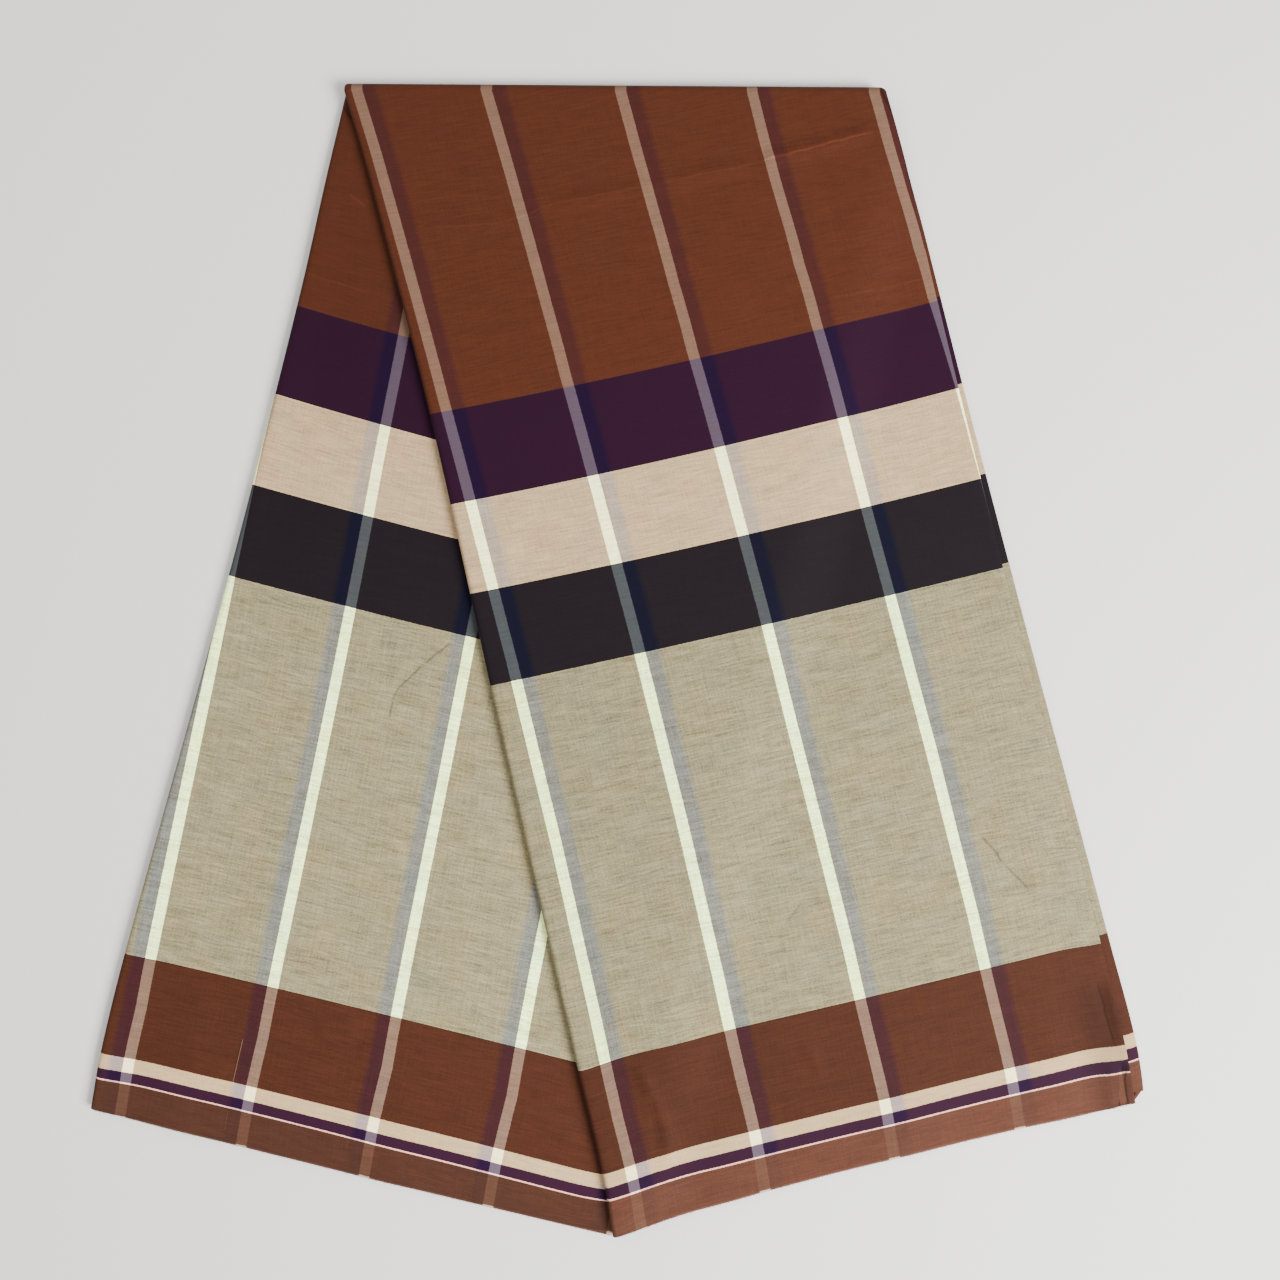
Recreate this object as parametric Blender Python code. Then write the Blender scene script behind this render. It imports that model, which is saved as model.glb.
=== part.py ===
"""A lungi, folded for sale and laid flat.

The cloth was first folded lengthways into a long strip eight layers thick, with one
outer fold down its left side. That strip was then folded over across its middle, on a
slant, so that the two halves fan out: the back half leans left and lies on the floor, and
the front half leans right and lies on top of it.

Units are metres. X runs to the right, Y towards the fold at the top, Z up from the floor.
"""

import math
from collections import namedtuple

import bmesh
import bpy
from mathutils import Vector

# Cloth and folded heights.
WALL = 0.0010  # one cloth layer that shows
GAP = 0.0003  # kept clear between neighbouring pieces
INNER_LAYERS = 0.0018  # the hidden layers pressed together
PACKET = INNER_LAYERS + 2 * (WALL + GAP)  # one half of the folded strip
HALF_GAP = GAP / 2  # from the middle of the slit between the halves to either one
ROLL_HEIGHT = PACKET + HALF_GAP  # the axis that the strip is folded over
FOLD_PUFF = 0.0009  # how much fuller the long outer folds are than the middle
PUFF_REACH = 0.013
PUFF_START = 0.090  # the fullness grows over this length from the top fold

# Right-hand edges, where the layers show.
EDGE_INSET = 0.0016  # last grid column, measured in from the edge
UNDER_FOLD_COLUMNS = 3  # columns that the fold peeping out below reaches in under
UNDER_FOLD_SHORT = 0.0050  # how far its selvedge stops above the top layer's
SELVEDGE_SHORT = 0.0010  # how far the hidden layers stop inside the selvedge
RIDGES = 4  # layers that can be counted on the edge of the hidden ones
RIDGE_DEPTH = 0.0003

# The rounded edge of a cloth layer: how far in from the edge, and how far from its face.
Lip = namedtuple("Lip", "inset drop")
LIP = [
    Lip(0.00000, 0.00035),
    Lip(0.00015, 0.00012),
    Lip(0.00050, 0.00000),
]

# The front half hangs off the back half's edge and down to the floor over this width.
DRAPE_START = 0.0015
DRAPE_WIDTH = 0.040

# Mesh density.
COLUMNS = 22
FRONT_STATIONS = 26
BACK_STATIONS = 14
ROLL_STEPS = 6
ARC_STEPS = 6
ROUND_STEPS = 4
SHARP_ANGLE = math.radians(40)
SEAM_AT = 0.0020  # the front piece ends this far down the back half
CORNER_ROUND = 0.0030  # how far the top fold's right end is rounded off

# Sections across the strip. share is the part of its length from the top fold (0) to the
# selvedge (1), left and right are its edges there, and bow is how far its middle lies
# nearer the top fold than the straight line between them.
Section = namedtuple("Section", "share left_x left_y right_x right_y bow")
FRONT_HALF = [
    Section(0.000, -0.1454, 0.3045, 0.1443, 0.3025, 0.0000),
    Section(0.085, -0.1316, 0.2571, 0.1564, 0.2603, -0.0015),
    Section(0.247, -0.1000, 0.1333, 0.1723, 0.1929, -0.0030),
    Section(0.497, -0.0672, -0.0135, 0.2074, 0.0504, -0.0015),
    Section(0.850, -0.0203, -0.2194, 0.2599, -0.1513, 0.0020),
    Section(0.945, -0.0072, -0.2751, 0.2729, -0.2055, 0.0037),
    Section(1.000, -0.0018, -0.3077, 0.2786, -0.2375, 0.0029),
]
BACK_HALF = [
    Section(0.000, -0.1454, 0.3045, 0.1443, 0.3025, 0.0000),
    Section(0.085, -0.1554, 0.2619, 0.1319, 0.2544, -0.0015),
    Section(0.255, -0.1714, 0.1913, 0.1012, 0.1251, -0.0032),
    Section(0.505, -0.2083, 0.0457, 0.0664, -0.0217, -0.0018),
    Section(0.854, -0.2639, -0.1565, 0.0185, -0.2239, 0.0000),
    Section(0.947, -0.2769, -0.2096, 0.0057, -0.2774, 0.0000),
    Section(1.000, -0.2823, -0.2402, -0.0015, -0.3087, -0.0008),
]

# How far the fold below the top layer reaches past its right edge.
Reach = namedtuple("Reach", "share past_edge")
UNDER_FOLD = [
    Reach(0.00, -0.0004),
    Reach(0.08, 0.0004),
    Reach(0.17, 0.0020),
    Reach(0.33, 0.0030),
    Reach(0.50, 0.0042),
    Reach(0.85, 0.0053),
    Reach(0.99, 0.0060),
    Reach(1.00, 0.0004),
]

# Soft ridges that run up from the selvedge, where the cloth was handled.
# across is the share of the strip's width, start the share of its length.
Ripple = namedtuple("Ripple", "across start width height")
FRONT_RIPPLES = [
    Ripple(0.22, 0.78, 0.016, 0.0008),
    Ripple(0.57, 0.82, 0.020, 0.0010),
    Ripple(0.86, 0.74, 0.015, 0.0009),
]
BACK_RIPPLES = [
    Ripple(0.16, 0.80, 0.018, 0.0008),
    Ripple(0.55, 0.84, 0.022, 0.0007),
]

Paint = namedtuple("Paint", "name colour")
ROUGHNESS = 0.85
FRONT_CLOTH = Paint("front_cloth", (0.463, 0.423, 0.320))
BACK_CLOTH = Paint("back_cloth", (0.430, 0.391, 0.292))
FOLD_CLOTH = Paint("fold_cloth", (0.447, 0.407, 0.306))
FRONT_LAYER_CLOTH = Paint("front_layer_cloth", (0.171, 0.050, 0.026))
BACK_LAYER_CLOTH = Paint("back_layer_cloth", (0.153, 0.058, 0.031))


def smooth(value):
    """0 to 1 with a level start and end."""
    value = min(1.0, max(0.0, value))
    return value * value * (3.0 - 2.0 * value)


def along(rows, share):
    """The columns after share, read from a smooth curve through the table's rows."""
    knots = [row[0] for row in rows]
    i = max(k for k in range(len(rows) - 1) if k == 0 or knots[k] <= share)
    span = knots[i + 1] - knots[i]
    t = (share - knots[i]) / span

    def slope(k, column):
        low, high = max(k - 1, 0), min(k + 1, len(rows) - 1)
        return (rows[high][column] - rows[low][column]) / (knots[high] - knots[low])

    values = []
    for column in range(1, len(rows[0])):
        start, end = rows[i][column], rows[i + 1][column]
        out, into = slope(i, column) * span, slope(i + 1, column) * span
        values.append(
            start * (1 + 2 * t) * (1 - t) ** 2
            + out * t * (1 - t) ** 2
            + end * t * t * (3 - 2 * t)
            + into * t * t * (t - 1)
        )
    return values


def back_edge_x(y):
    """Where the back half's straight right edge is at this y."""
    top, end = BACK_HALF[0], BACK_HALF[-1]
    return top.right_x + (end.right_x - top.right_x) * (top.right_y - y) / (top.right_y - end.right_y)


def drape(x, y):
    """How high the front half is held up: by the back half, then down to the floor."""
    past = (x - back_edge_x(y) - DRAPE_START) / DRAPE_WIDTH
    return (PACKET + GAP) * (1.0 - smooth(past))


class Station:
    """One section of the strip: it turns (distance from the left fold, height) into a point."""

    def __init__(self, rows, ripples, share, corner=0.0):
        left_x, left_y, right_x, right_y, bow = along(rows, share)
        self.left = Vector((left_x, left_y, 0.0))
        self.across = Vector((right_x - corner, right_y, 0.0)) - self.left
        self.width = self.across.length
        self.towards_fold = Vector((-self.across.y, self.across.x, 0.0)) / self.width
        self.share, self.bow, self.ripples = share, bow, ripples

    def thickness(self, q):
        """Height of the folded strip here, fuller at the outer fold and at the ripples."""
        grown = smooth(self.share / share_of(PUFF_START))
        full = PACKET + FOLD_PUFF * grown * math.exp(-((q / PUFF_REACH) ** 2))
        for ripple in self.ripples:
            off = (q - ripple.across * self.width) / ripple.width
            grown = smooth((self.share - ripple.start) / (1.0 - ripple.start))
            full += ripple.height * grown * math.exp(-off * off)
        return full

    def fold_radius(self):
        return self.thickness(0.0) / 2

    def columns(self):
        """Distances from the left fold of the grid lines that every layer shares."""
        first, last = self.fold_radius(), self.width - EDGE_INSET
        return [first + (last - first) * k / COLUMNS for k in range(COLUMNS + 1)]

    def near_edge(self):
        """Where the layer on the near side ends on the right."""
        return self.width

    def plan(self, q):
        part = q / self.width
        return self.left + self.across * part + self.towards_fold * (4 * self.bow * part * (1 - part))


class FrontStation(Station):
    def __init__(self, share):
        super().__init__(FRONT_HALF, FRONT_RIPPLES, share)

    def near_edge(self):
        return self.width + along(UNDER_FOLD, self.share)[0]

    def point(self, q, height):
        at = self.plan(q)
        return Vector((at.x, at.y, drape(at.x, at.y) + height))


class BackStation(Station):
    def __init__(self, share):
        super().__init__(BACK_HALF, BACK_RIPPLES, share)

    def point(self, q, height):
        at = self.plan(q)
        return Vector((at.x, at.y, self.thickness(q) - height))


class RollStation(Station):
    """A section on the top fold, turned about the fold's axis from the front (0) to the back (1)."""

    def __init__(self, turn):
        self.angle = math.pi * turn
        super().__init__(FRONT_HALF, [], 0.0, CORNER_ROUND * math.sin(self.angle) ** 2)

    def point(self, q, height):
        at = self.plan(q)
        radius = HALF_GAP + height
        return Vector((
            at.x,
            at.y + radius * math.sin(self.angle),
            ROLL_HEIGHT + radius * math.cos(self.angle),
        ))


def share_of(length):
    """A length along the strip as a share of one half's length."""
    top, end = BACK_HALF[0], BACK_HALF[-1]
    return length / math.hypot(top.left_x - end.left_x, top.left_y - end.left_y)


def between(shares, first, last):
    """The shares from first to last, so that all layers bend at the same places."""
    return [first, *(share for share in shares if first < share < last), last]


def front_stations(first=0.0, last=1.0):
    shares = [j / FRONT_STATIONS for j in range(FRONT_STATIONS)] + [1 - share_of(UNDER_FOLD_SHORT)]
    return [FrontStation(share) for share in between(shares, first, last)]


def back_stations(first=0.0, last=1.0):
    shares = [j / BACK_STATIONS for j in range(BACK_STATIONS)]
    return [BackStation(share) for share in between(shares, first, last)]


def roll_stations():
    return [RollStation(k / ROLL_STEPS) for k in range(ROLL_STEPS + 1)]


def wrap_section(station):
    """Outer and inner points of the U-shaped wall: far side, left fold, near side.

    The far side is the one that shows on the front half, and the near side lies against
    the other half. Both points of a pair are on one line through the cloth.
    """
    columns = station.columns()[1:]
    radius = station.fold_radius()
    pairs = []
    top = station.thickness(station.width)
    for row in LIP:
        q = station.width - row.inset
        pairs.append((station.point(q, top - row.drop), station.point(q, top - WALL + row.drop)))
    for q in reversed(columns):
        top = station.thickness(q)
        pairs.append((station.point(q, top), station.point(q, top - WALL)))
    for k in range(ARC_STEPS + 1):
        out, up = math.sin(math.pi * k / ARC_STEPS), math.cos(math.pi * k / ARC_STEPS)
        pairs.append([
            station.point(radius - reach * out, radius + reach * up) for reach in (radius, radius - WALL)
        ])
    for q in columns:
        pairs.append((station.point(q, 0.0), station.point(q, WALL)))
    for row in reversed(LIP):
        q = station.near_edge() - row.inset
        pairs.append((station.point(q, row.drop), station.point(q, WALL - row.drop)))
    return zip(*pairs)


def paint_of(paint):
    material = bpy.data.materials.get(paint.name) or bpy.data.materials.new(paint.name)
    material.use_nodes = True
    shader = material.node_tree.nodes["Principled BSDF"]
    shader.inputs["Base Color"].default_value = (*paint.colour, 1.0)
    shader.inputs["Roughness"].default_value = ROUGHNESS
    shader.inputs["Metallic"].default_value = 0.0
    return material


def add_object(name, mesh_in, paint):
    """Finishes a bmesh as one closed, smooth-shaded object."""
    bmesh.ops.recalc_face_normals(mesh_in, faces=mesh_in.faces)
    mesh = bpy.data.meshes.new(name)
    mesh_in.to_mesh(mesh)
    mesh_in.free()
    mesh.materials.append(paint_of(paint))
    mesh.shade_smooth()
    mesh.set_sharp_from_angle(angle=SHARP_ANGLE)
    made = bpy.data.objects.new(name, mesh)
    bpy.context.scene.collection.objects.link(made)
    return made


def grid_faces(mesh_in, rows):
    """Two triangles for each cell between rows of vertices, cut along its more level diagonal."""
    for low, high in zip(rows, rows[1:]):
        for a, b, c, d in zip(low, low[1:], high[1:], high):
            if abs(a.co.z - c.co.z) > abs(b.co.z - d.co.z):
                a, b, c, d = b, c, d, a
            mesh_in.faces.new((a, b, c))
            mesh_in.faces.new((a, c, d))


def cloth_wall(name, stations, paint):
    """A wall of cloth wrapped round the strip, through the sections at these stations."""
    mesh_in = bmesh.new()
    outer_rows, inner_rows = [], []
    for station in stations:
        outer, inner = wrap_section(station)
        outer_rows.append([mesh_in.verts.new(p) for p in outer])
        inner_rows.append([mesh_in.verts.new(p) for p in inner])
    grid_faces(mesh_in, outer_rows)
    grid_faces(mesh_in, inner_rows)
    for j in (0, -1):
        grid_faces(mesh_in, [outer_rows[j], inner_rows[j]])
    for i in (0, -1):
        grid_faces(mesh_in, [[row[i] for row in outer_rows], [row[i] for row in inner_rows]])
    return add_object(name, mesh_in, paint)


def round_end(radius):
    """Heights and reaches of a rounded edge, as shares of the layer and metres outwards."""
    steps = [k / ROUND_STEPS for k in range(1, ROUND_STEPS)]
    return [(share, radius * math.sqrt(1 - (2 * share - 1) ** 2)) for share in steps]


def ridged_end():
    """Heights and reaches of an edge on which the separate layers show."""
    steps = [k / (2 * RIDGES) for k in range(1, 2 * RIDGES)]
    return [(share, RIDGE_DEPTH * (k % 2)) for k, share in enumerate(steps, 1)]


def end_reach(profile, share):
    """The outward reach of an edge profile at this share of the height."""
    rows = [(0.0, 0.0), *profile, (1.0, 0.0)]
    for (low, reach), (high, further) in zip(rows, rows[1:]):
        if share <= high:
            return reach + (further - reach) * (share - low) / (high - low)
    return 0.0


def layer_block(name, near_rows, far_rows, left_end, right_end, paint):
    """A slab between two grids, with profiled sides and ridges where its last row ends.

    near_rows and far_rows hold the points of its two faces, a row for each station.
    """
    mesh_in = bmesh.new()
    ends = ridged_end()
    shares = sorted({share for profile in (left_end, right_end, ends) for share, _ in profile})
    last_row, last_column = len(near_rows) - 1, len(near_rows[0]) - 1

    def layer_point(j, i, share):
        return near_rows[j][i].lerp(far_rows[j][i], share)

    def edge_vertex(j, i, share):
        at = layer_point(j, i, share)
        if i == 0:
            at += (at - layer_point(j, 1, share)).normalized() * end_reach(left_end, share)
        if i == last_column:
            at += (at - layer_point(j, i - 1, share)).normalized() * end_reach(right_end, share)
        if j == last_row:
            at += (at - layer_point(j - 1, i, share)).normalized() * end_reach(ends, share)
        return mesh_in.verts.new(at)

    near = [[mesh_in.verts.new(p) for p in row] for row in near_rows]
    far = [[mesh_in.verts.new(p) for p in row] for row in far_rows]
    grid_faces(mesh_in, near)
    grid_faces(mesh_in, far)
    rim = [(0, i) for i in range(last_column)]
    rim += [(j, last_column) for j in range(last_row)]
    rim += [(last_row, i) for i in range(last_column, 0, -1)]
    rim += [(j, 0) for j in range(last_row, 0, -1)]
    rings = [[near[j][i] for j, i in rim]]
    rings += [[edge_vertex(j, i, share) for j, i in rim] for share in shares]
    rings += [[far[j][i] for j, i in rim]]
    grid_faces(mesh_in, [ring + ring[:1] for ring in rings])
    return add_object(name, mesh_in, paint)


def layer_rows(stations, first_column, last_column, extra=None):
    """The two faces of a block of hidden layers, on the shared grid columns."""
    near_rows, far_rows = [], []
    for station in stations:
        columns = station.columns()[first_column : last_column + 1]
        if extra:
            columns.append(extra(station))
        near_rows.append([station.point(q, WALL + GAP) for q in columns])
        far_rows.append([station.point(q, station.thickness(q) - WALL - GAP) for q in columns])
    return near_rows, far_rows


def make_front_panel():
    """The front half's outer layer, which goes on round the top fold and ends behind it."""
    tail = [BackStation(share_of(SEAM_AT) * k / 2) for k in (1, 2)]
    stations = [*reversed(front_stations()), *roll_stations()[1:], *tail]
    return cloth_wall("front_panel", stations, FRONT_CLOTH)


def make_back_panel():
    """The back half's outer layer, from just below the top fold to its selvedge."""
    return cloth_wall("back_panel", back_stations(share_of(SEAM_AT + GAP)), BACK_CLOTH)


def hidden_fold_radius():
    return PACKET / 2 - WALL - GAP


def make_front_layers():
    """The layers inside the front half, short of the fold that peeps out on the right."""
    stations = front_stations(share_of(GAP), 1 - share_of(SELVEDGE_SHORT))
    faces = layer_rows(stations, 0, COLUMNS - UNDER_FOLD_COLUMNS)
    fold = round_end(hidden_fold_radius())
    return layer_block("front_layers", *faces, fold, [], FRONT_LAYER_CLOTH)


def make_back_layers():
    """The layers inside the top fold and the back half, with ridges on the right edge."""
    stations = [*roll_stations(), *back_stations(0.0, 1 - share_of(SELVEDGE_SHORT))[1:]]
    faces = layer_rows(stations, 0, COLUMNS)
    profiles = (round_end(hidden_fold_radius()), ridged_end())
    return layer_block("back_layers", *faces, *profiles, BACK_LAYER_CLOTH)


def make_under_fold():
    """The folded layer that peeps out along the front half's right edge."""
    radius = INNER_LAYERS / 2
    stations = front_stations(share_of(GAP), 1 - share_of(UNDER_FOLD_SHORT))
    near_rows, far_rows = layer_rows(
        stations,
        COLUMNS - UNDER_FOLD_COLUMNS,
        COLUMNS,
        lambda station: station.width + along(UNDER_FOLD, station.share)[0] - radius,
    )
    for row in (*near_rows, *far_rows):
        row[0] = row[0] + (row[1] - row[0]).normalized() * GAP
    return layer_block("under_fold", near_rows, far_rows, [], round_end(radius), FOLD_CLOTH)


def centre_on_floor(pieces):
    """Moves the part so that the middle of its outline is the origin and it stands on Z 0."""
    corners = [v.co for piece in pieces for v in piece.data.vertices]
    low = Vector([min(c[axis] for c in corners) for axis in range(3)])
    high = Vector([max(c[axis] for c in corners) for axis in range(3)])
    shift = Vector((-(low.x + high.x) / 2, -(low.y + high.y) / 2, -low.z))
    for piece in pieces:
        for vertex in piece.data.vertices:
            vertex.co += shift


def main():
    for old in list(bpy.data.objects):
        bpy.data.objects.remove(old)
    pieces = [
        make_front_panel(),
        make_back_panel(),
        make_front_layers(),
        make_back_layers(),
        make_under_fold(),
    ]
    centre_on_floor(pieces)


main()
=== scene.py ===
"""Finishes a folded lungi: thin checked cotton over its solids, and a plain stage.

The cloth is a strip of eight layers with one outer fold down its left side, folded over
across its middle on a slant. Its two halves fan out, the front half on top.

Units are metres in the part's own frame: X to the right, Y towards the top fold, Z up.
"""

import math
import random
from collections import namedtuple

import bmesh
import bpy
import numpy as np
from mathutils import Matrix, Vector


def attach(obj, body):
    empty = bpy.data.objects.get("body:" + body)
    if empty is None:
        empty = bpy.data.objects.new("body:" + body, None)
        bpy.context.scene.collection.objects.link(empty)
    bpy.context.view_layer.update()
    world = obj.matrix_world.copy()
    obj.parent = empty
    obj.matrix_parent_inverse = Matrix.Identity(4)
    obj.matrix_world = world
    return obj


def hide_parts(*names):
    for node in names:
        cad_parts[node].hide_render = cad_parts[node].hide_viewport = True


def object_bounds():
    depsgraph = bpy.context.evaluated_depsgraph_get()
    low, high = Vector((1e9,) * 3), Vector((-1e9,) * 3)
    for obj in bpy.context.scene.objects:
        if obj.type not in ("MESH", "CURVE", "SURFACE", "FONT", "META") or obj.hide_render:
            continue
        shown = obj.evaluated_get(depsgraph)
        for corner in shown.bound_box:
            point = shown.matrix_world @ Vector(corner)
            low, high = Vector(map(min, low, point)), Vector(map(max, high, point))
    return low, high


bl_info = {
    "name": "Folded lungi",
    "version": (1, 0, 0),
    "blender": (4, 5, 0),
    "location": "3D View > Sidebar > Lungi",
    "description": "Dresses the solids of a folded lungi in thin checked cotton",
    "category": "Mesh",
}

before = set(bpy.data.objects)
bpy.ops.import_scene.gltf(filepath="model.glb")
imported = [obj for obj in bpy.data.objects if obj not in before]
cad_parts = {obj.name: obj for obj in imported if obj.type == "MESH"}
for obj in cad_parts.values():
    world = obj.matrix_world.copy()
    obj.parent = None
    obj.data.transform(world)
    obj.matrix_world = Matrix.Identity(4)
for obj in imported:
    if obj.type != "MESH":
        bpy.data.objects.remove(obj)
CAD_LOW, CAD_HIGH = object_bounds()

# The form of the folded strip, as its solids have it.
WALL = 0.0010  # an outer layer of the solids
GAP = 0.0003
INNER_LAYERS = 0.0018
PACKET = INNER_LAYERS + 2 * (WALL + GAP)  # one half of the folded strip
HALF_GAP = GAP / 2
ROLL_HEIGHT = PACKET + HALF_GAP  # the axis that the strip is folded over
FOLD_PUFF = 0.0009  # how much fuller the long outer folds are than the middle
PUFF_REACH = 0.013
PUFF_START = 0.090
DRAPE_START = 0.0015  # the front half comes down to the floor past the back half's edge
DRAPE_WIDTH = 0.040
SEAM_AT = 0.0020  # the front cloth ends this far down the back half
CORNER_ROUND = 0.0030
UNDER_FOLD_IN = 3 / 22  # share of the width that the fold peeping out reaches in under
UNDER_FOLD_SHORT = 0.0050

# Sections across the strip. share is the part of its length from the top fold (0) to the
# selvedge (1), left and right are its edges there, and bow is how far its middle lies
# nearer the top fold than the straight line between them.
Section = namedtuple("Section", "share left_x left_y right_x right_y bow")
FRONT_HALF = [
    Section(0.000, -0.1454, 0.3045, 0.1443, 0.3025, 0.0000),
    Section(0.085, -0.1316, 0.2571, 0.1564, 0.2603, -0.0015),
    Section(0.247, -0.1000, 0.1333, 0.1723, 0.1929, -0.0030),
    Section(0.497, -0.0672, -0.0135, 0.2074, 0.0504, -0.0015),
    Section(0.850, -0.0203, -0.2194, 0.2599, -0.1513, 0.0020),
    Section(0.945, -0.0072, -0.2751, 0.2729, -0.2055, 0.0037),
    Section(1.000, -0.0018, -0.3077, 0.2786, -0.2375, 0.0029),
]
BACK_HALF = [
    Section(0.000, -0.1454, 0.3045, 0.1443, 0.3025, 0.0000),
    Section(0.085, -0.1554, 0.2619, 0.1319, 0.2544, -0.0015),
    Section(0.255, -0.1714, 0.1913, 0.1012, 0.1251, -0.0032),
    Section(0.505, -0.2083, 0.0457, 0.0664, -0.0217, -0.0018),
    Section(0.854, -0.2639, -0.1565, 0.0185, -0.2239, 0.0000),
    Section(0.947, -0.2769, -0.2096, 0.0057, -0.2774, 0.0000),
    Section(1.000, -0.2823, -0.2402, -0.0015, -0.3087, -0.0008),
]
# How far the fold below the top layer reaches past its right edge.
Reach = namedtuple("Reach", "share past_edge")
UNDER_FOLD = [
    Reach(0.00, -0.0004),
    Reach(0.08, 0.0004),
    Reach(0.17, 0.0020),
    Reach(0.33, 0.0030),
    Reach(0.50, 0.0042),
    Reach(0.85, 0.0053),
    Reach(0.99, 0.0060),
    Reach(1.00, 0.0004),
]
# Soft ridges that run up from the selvedge, where the cloth was handled.
Ripple = namedtuple("Ripple", "across start width height")
FRONT_RIPPLES = [
    Ripple(0.22, 0.78, 0.016, 0.0008),
    Ripple(0.57, 0.82, 0.020, 0.0010),
    Ripple(0.86, 0.74, 0.015, 0.0009),
]
BACK_RIPPLES = [
    Ripple(0.16, 0.80, 0.018, 0.0008),
    Ripple(0.55, 0.84, 0.022, 0.0007),
]
# From the tables' own origin to the part's, which is the middle of its outline.
PLACE = CAD_LOW - Vector((BACK_HALF[-1].left_x, BACK_HALF[-1].right_y, 0.0))

# The cloth's bands, woven along its length, from the middle of the cloth to a selvedge.
# start is measured from where the purple begins, slub is how much its threads vary, and rim
# says which side of its start is the pale one. The colours are of the band by itself and where
# the white and the blue cross stripes run over it.
Band = namedtuple("Band", "name start slub rim plain white blue")
BANDS = [
    Band("rust", -1.0000, 0.48, 0,
         (0.049, 0.0128, 0.0053), (0.122, 0.067, 0.044), (0.035, 0.0084, 0.0068)),
    Band("purple", 0.0000, 0.22, 0,
         (0.013, 0.0014, 0.0095), (0.059, 0.040, 0.058), (0.0058, 0.0004, 0.0117)),
    Band("pink", 0.0500, 0.75, 1,
         (0.342, 0.237, 0.134), (0.930, 0.930, 0.460), (0.257, 0.205, 0.158)),
    Band("black", 0.1000, 0.40, -1,
         (0.0063, 0.0039, 0.0054), (0.035, 0.039, 0.041), (0.0016, 0.0016, 0.008)),
    Band("beige", 0.1495, 1.20, 1,
         (0.173, 0.148, 0.082), (0.760, 0.920, 0.395), (0.122, 0.122, 0.103)),
    Band("lower_rust", 0.3600, 0.65, -1,
         (0.0385, 0.0114, 0.0052), (0.137, 0.082, 0.056), (0.027, 0.0070, 0.0083)),
    Band("cream", 0.4165, 0.40, 0,
         (0.385, 0.262, 0.141), (0.930, 0.800, 0.430), (0.252, 0.190, 0.178)),
    Band("border_purple", 0.4240, 0.25, 0,
         (0.0195, 0.0040, 0.0132), (0.084, 0.057, 0.079), (0.010, 0.0013, 0.0147)),
    Band("line", 0.4304, 0.20, 0,
         (0.700, 0.375, 0.290), (0.880, 0.610, 0.490), (0.510, 0.290, 0.280)),
    Band("selvedge", 0.4312, 0.60, 0,
         (0.0645, 0.0235, 0.0136), (0.078, 0.0340, 0.0200), (0.056, 0.0216, 0.0134)),
    Band("weft_loops", 0.4482, 0.30, 0,
         (0.100, 0.040, 0.026), (0.420, 0.300, 0.230), (0.085, 0.034, 0.024)),
]
CLOTH_END = 0.4490  # the selvedge, on the same measure
MIDDLE = -0.1500  # the middle of the woven width, on the same measure
EDGE_WIDTH = 0.00025  # over which one colour gives way to the next
RAGGED_WIDTH = 0.0016  # the same at the blue's outer edge, to each side
RIM_WIDTH = 0.00028  # half the width of the line at a band's edge

# Where the bands start along each half: share at the left edge, in the middle and at the
# right edge.
Level = namedtuple("Level", "place left middle right")
FRONT_BANDS = [
    Level(0.0000, 0.250, 0.248, 0.247),
    Level(0.0500, 0.328, 0.330, 0.333),
    Level(0.1000, 0.411, 0.413, 0.416),
    Level(0.1495, 0.497, 0.497, 0.498),
    Level(0.3600, 0.8445, 0.8515, 0.8475),
    Level(0.4165, 0.9395, 0.9472, 0.9415),
    Level(0.4240, 0.9525, 0.9602, 0.9545),
    Level(0.4304, 0.9625, 0.9702, 0.9655),
    Level(CLOTH_END, 1.000, 1.000, 1.000),
]
FRONT_TOP = (-0.180, -0.117)  # what is at the top fold, left and right
BACK_BANDS = [
    Level(0.0000, 0.257, 0.258, 0.260),
    Level(0.0500, 0.342, 0.340, 0.338),
    Level(0.1000, 0.423, 0.421, 0.419),
    Level(0.1495, 0.505, 0.504, 0.503),
    Level(0.3600, 0.854, 0.854, 0.857),
    Level(0.4165, 0.946, 0.947, 0.951),
    Level(0.4240, 0.959, 0.960, 0.964),
    Level(0.4304, 0.968, 0.969, 0.973),
    Level(CLOTH_END, 1.000, 1.000, 1.000),
]
BACK_TOP = (-0.120, -0.187)
# How much further down the bands show close to the left and to the right edge.
Sag = namedtuple("Sag", "share left right")
FRONT_SAGS = [
    Sag(0.00, 0.0000, 0.0000),
    Sag(0.50, 0.0000, 0.0000),
    Sag(0.85, 0.0045, 0.0030),
    Sag(0.96, 0.0030, 0.0046),
    Sag(1.00, 0.0030, 0.0050),
]
BACK_SAGS = [
    Sag(0.00, 0.0000, 0.0000),
    Sag(0.80, 0.0000, 0.0000),
    Sag(0.86, 0.0008, -0.0015),
    Sag(0.96, 0.0022, -0.0030),
    Sag(1.00, 0.0022, -0.0030),
]
LEFT_SAG_REACH = 0.07  # share of the width
RIGHT_SAG_REACH = 0.05
Chart = namedtuple("Chart", "bands top sags")
FRONT_CHART = Chart(FRONT_BANDS, FRONT_TOP, FRONT_SAGS)
BACK_CHART = Chart(BACK_BANDS, BACK_TOP, BACK_SAGS)

# The cross stripes repeat over this length. A white one is followed by a blue one.
STRIPE_REPEAT = 0.0680
WHITE_WIDTH = 0.0061
BLUE_WIDTH = 0.0070
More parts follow.
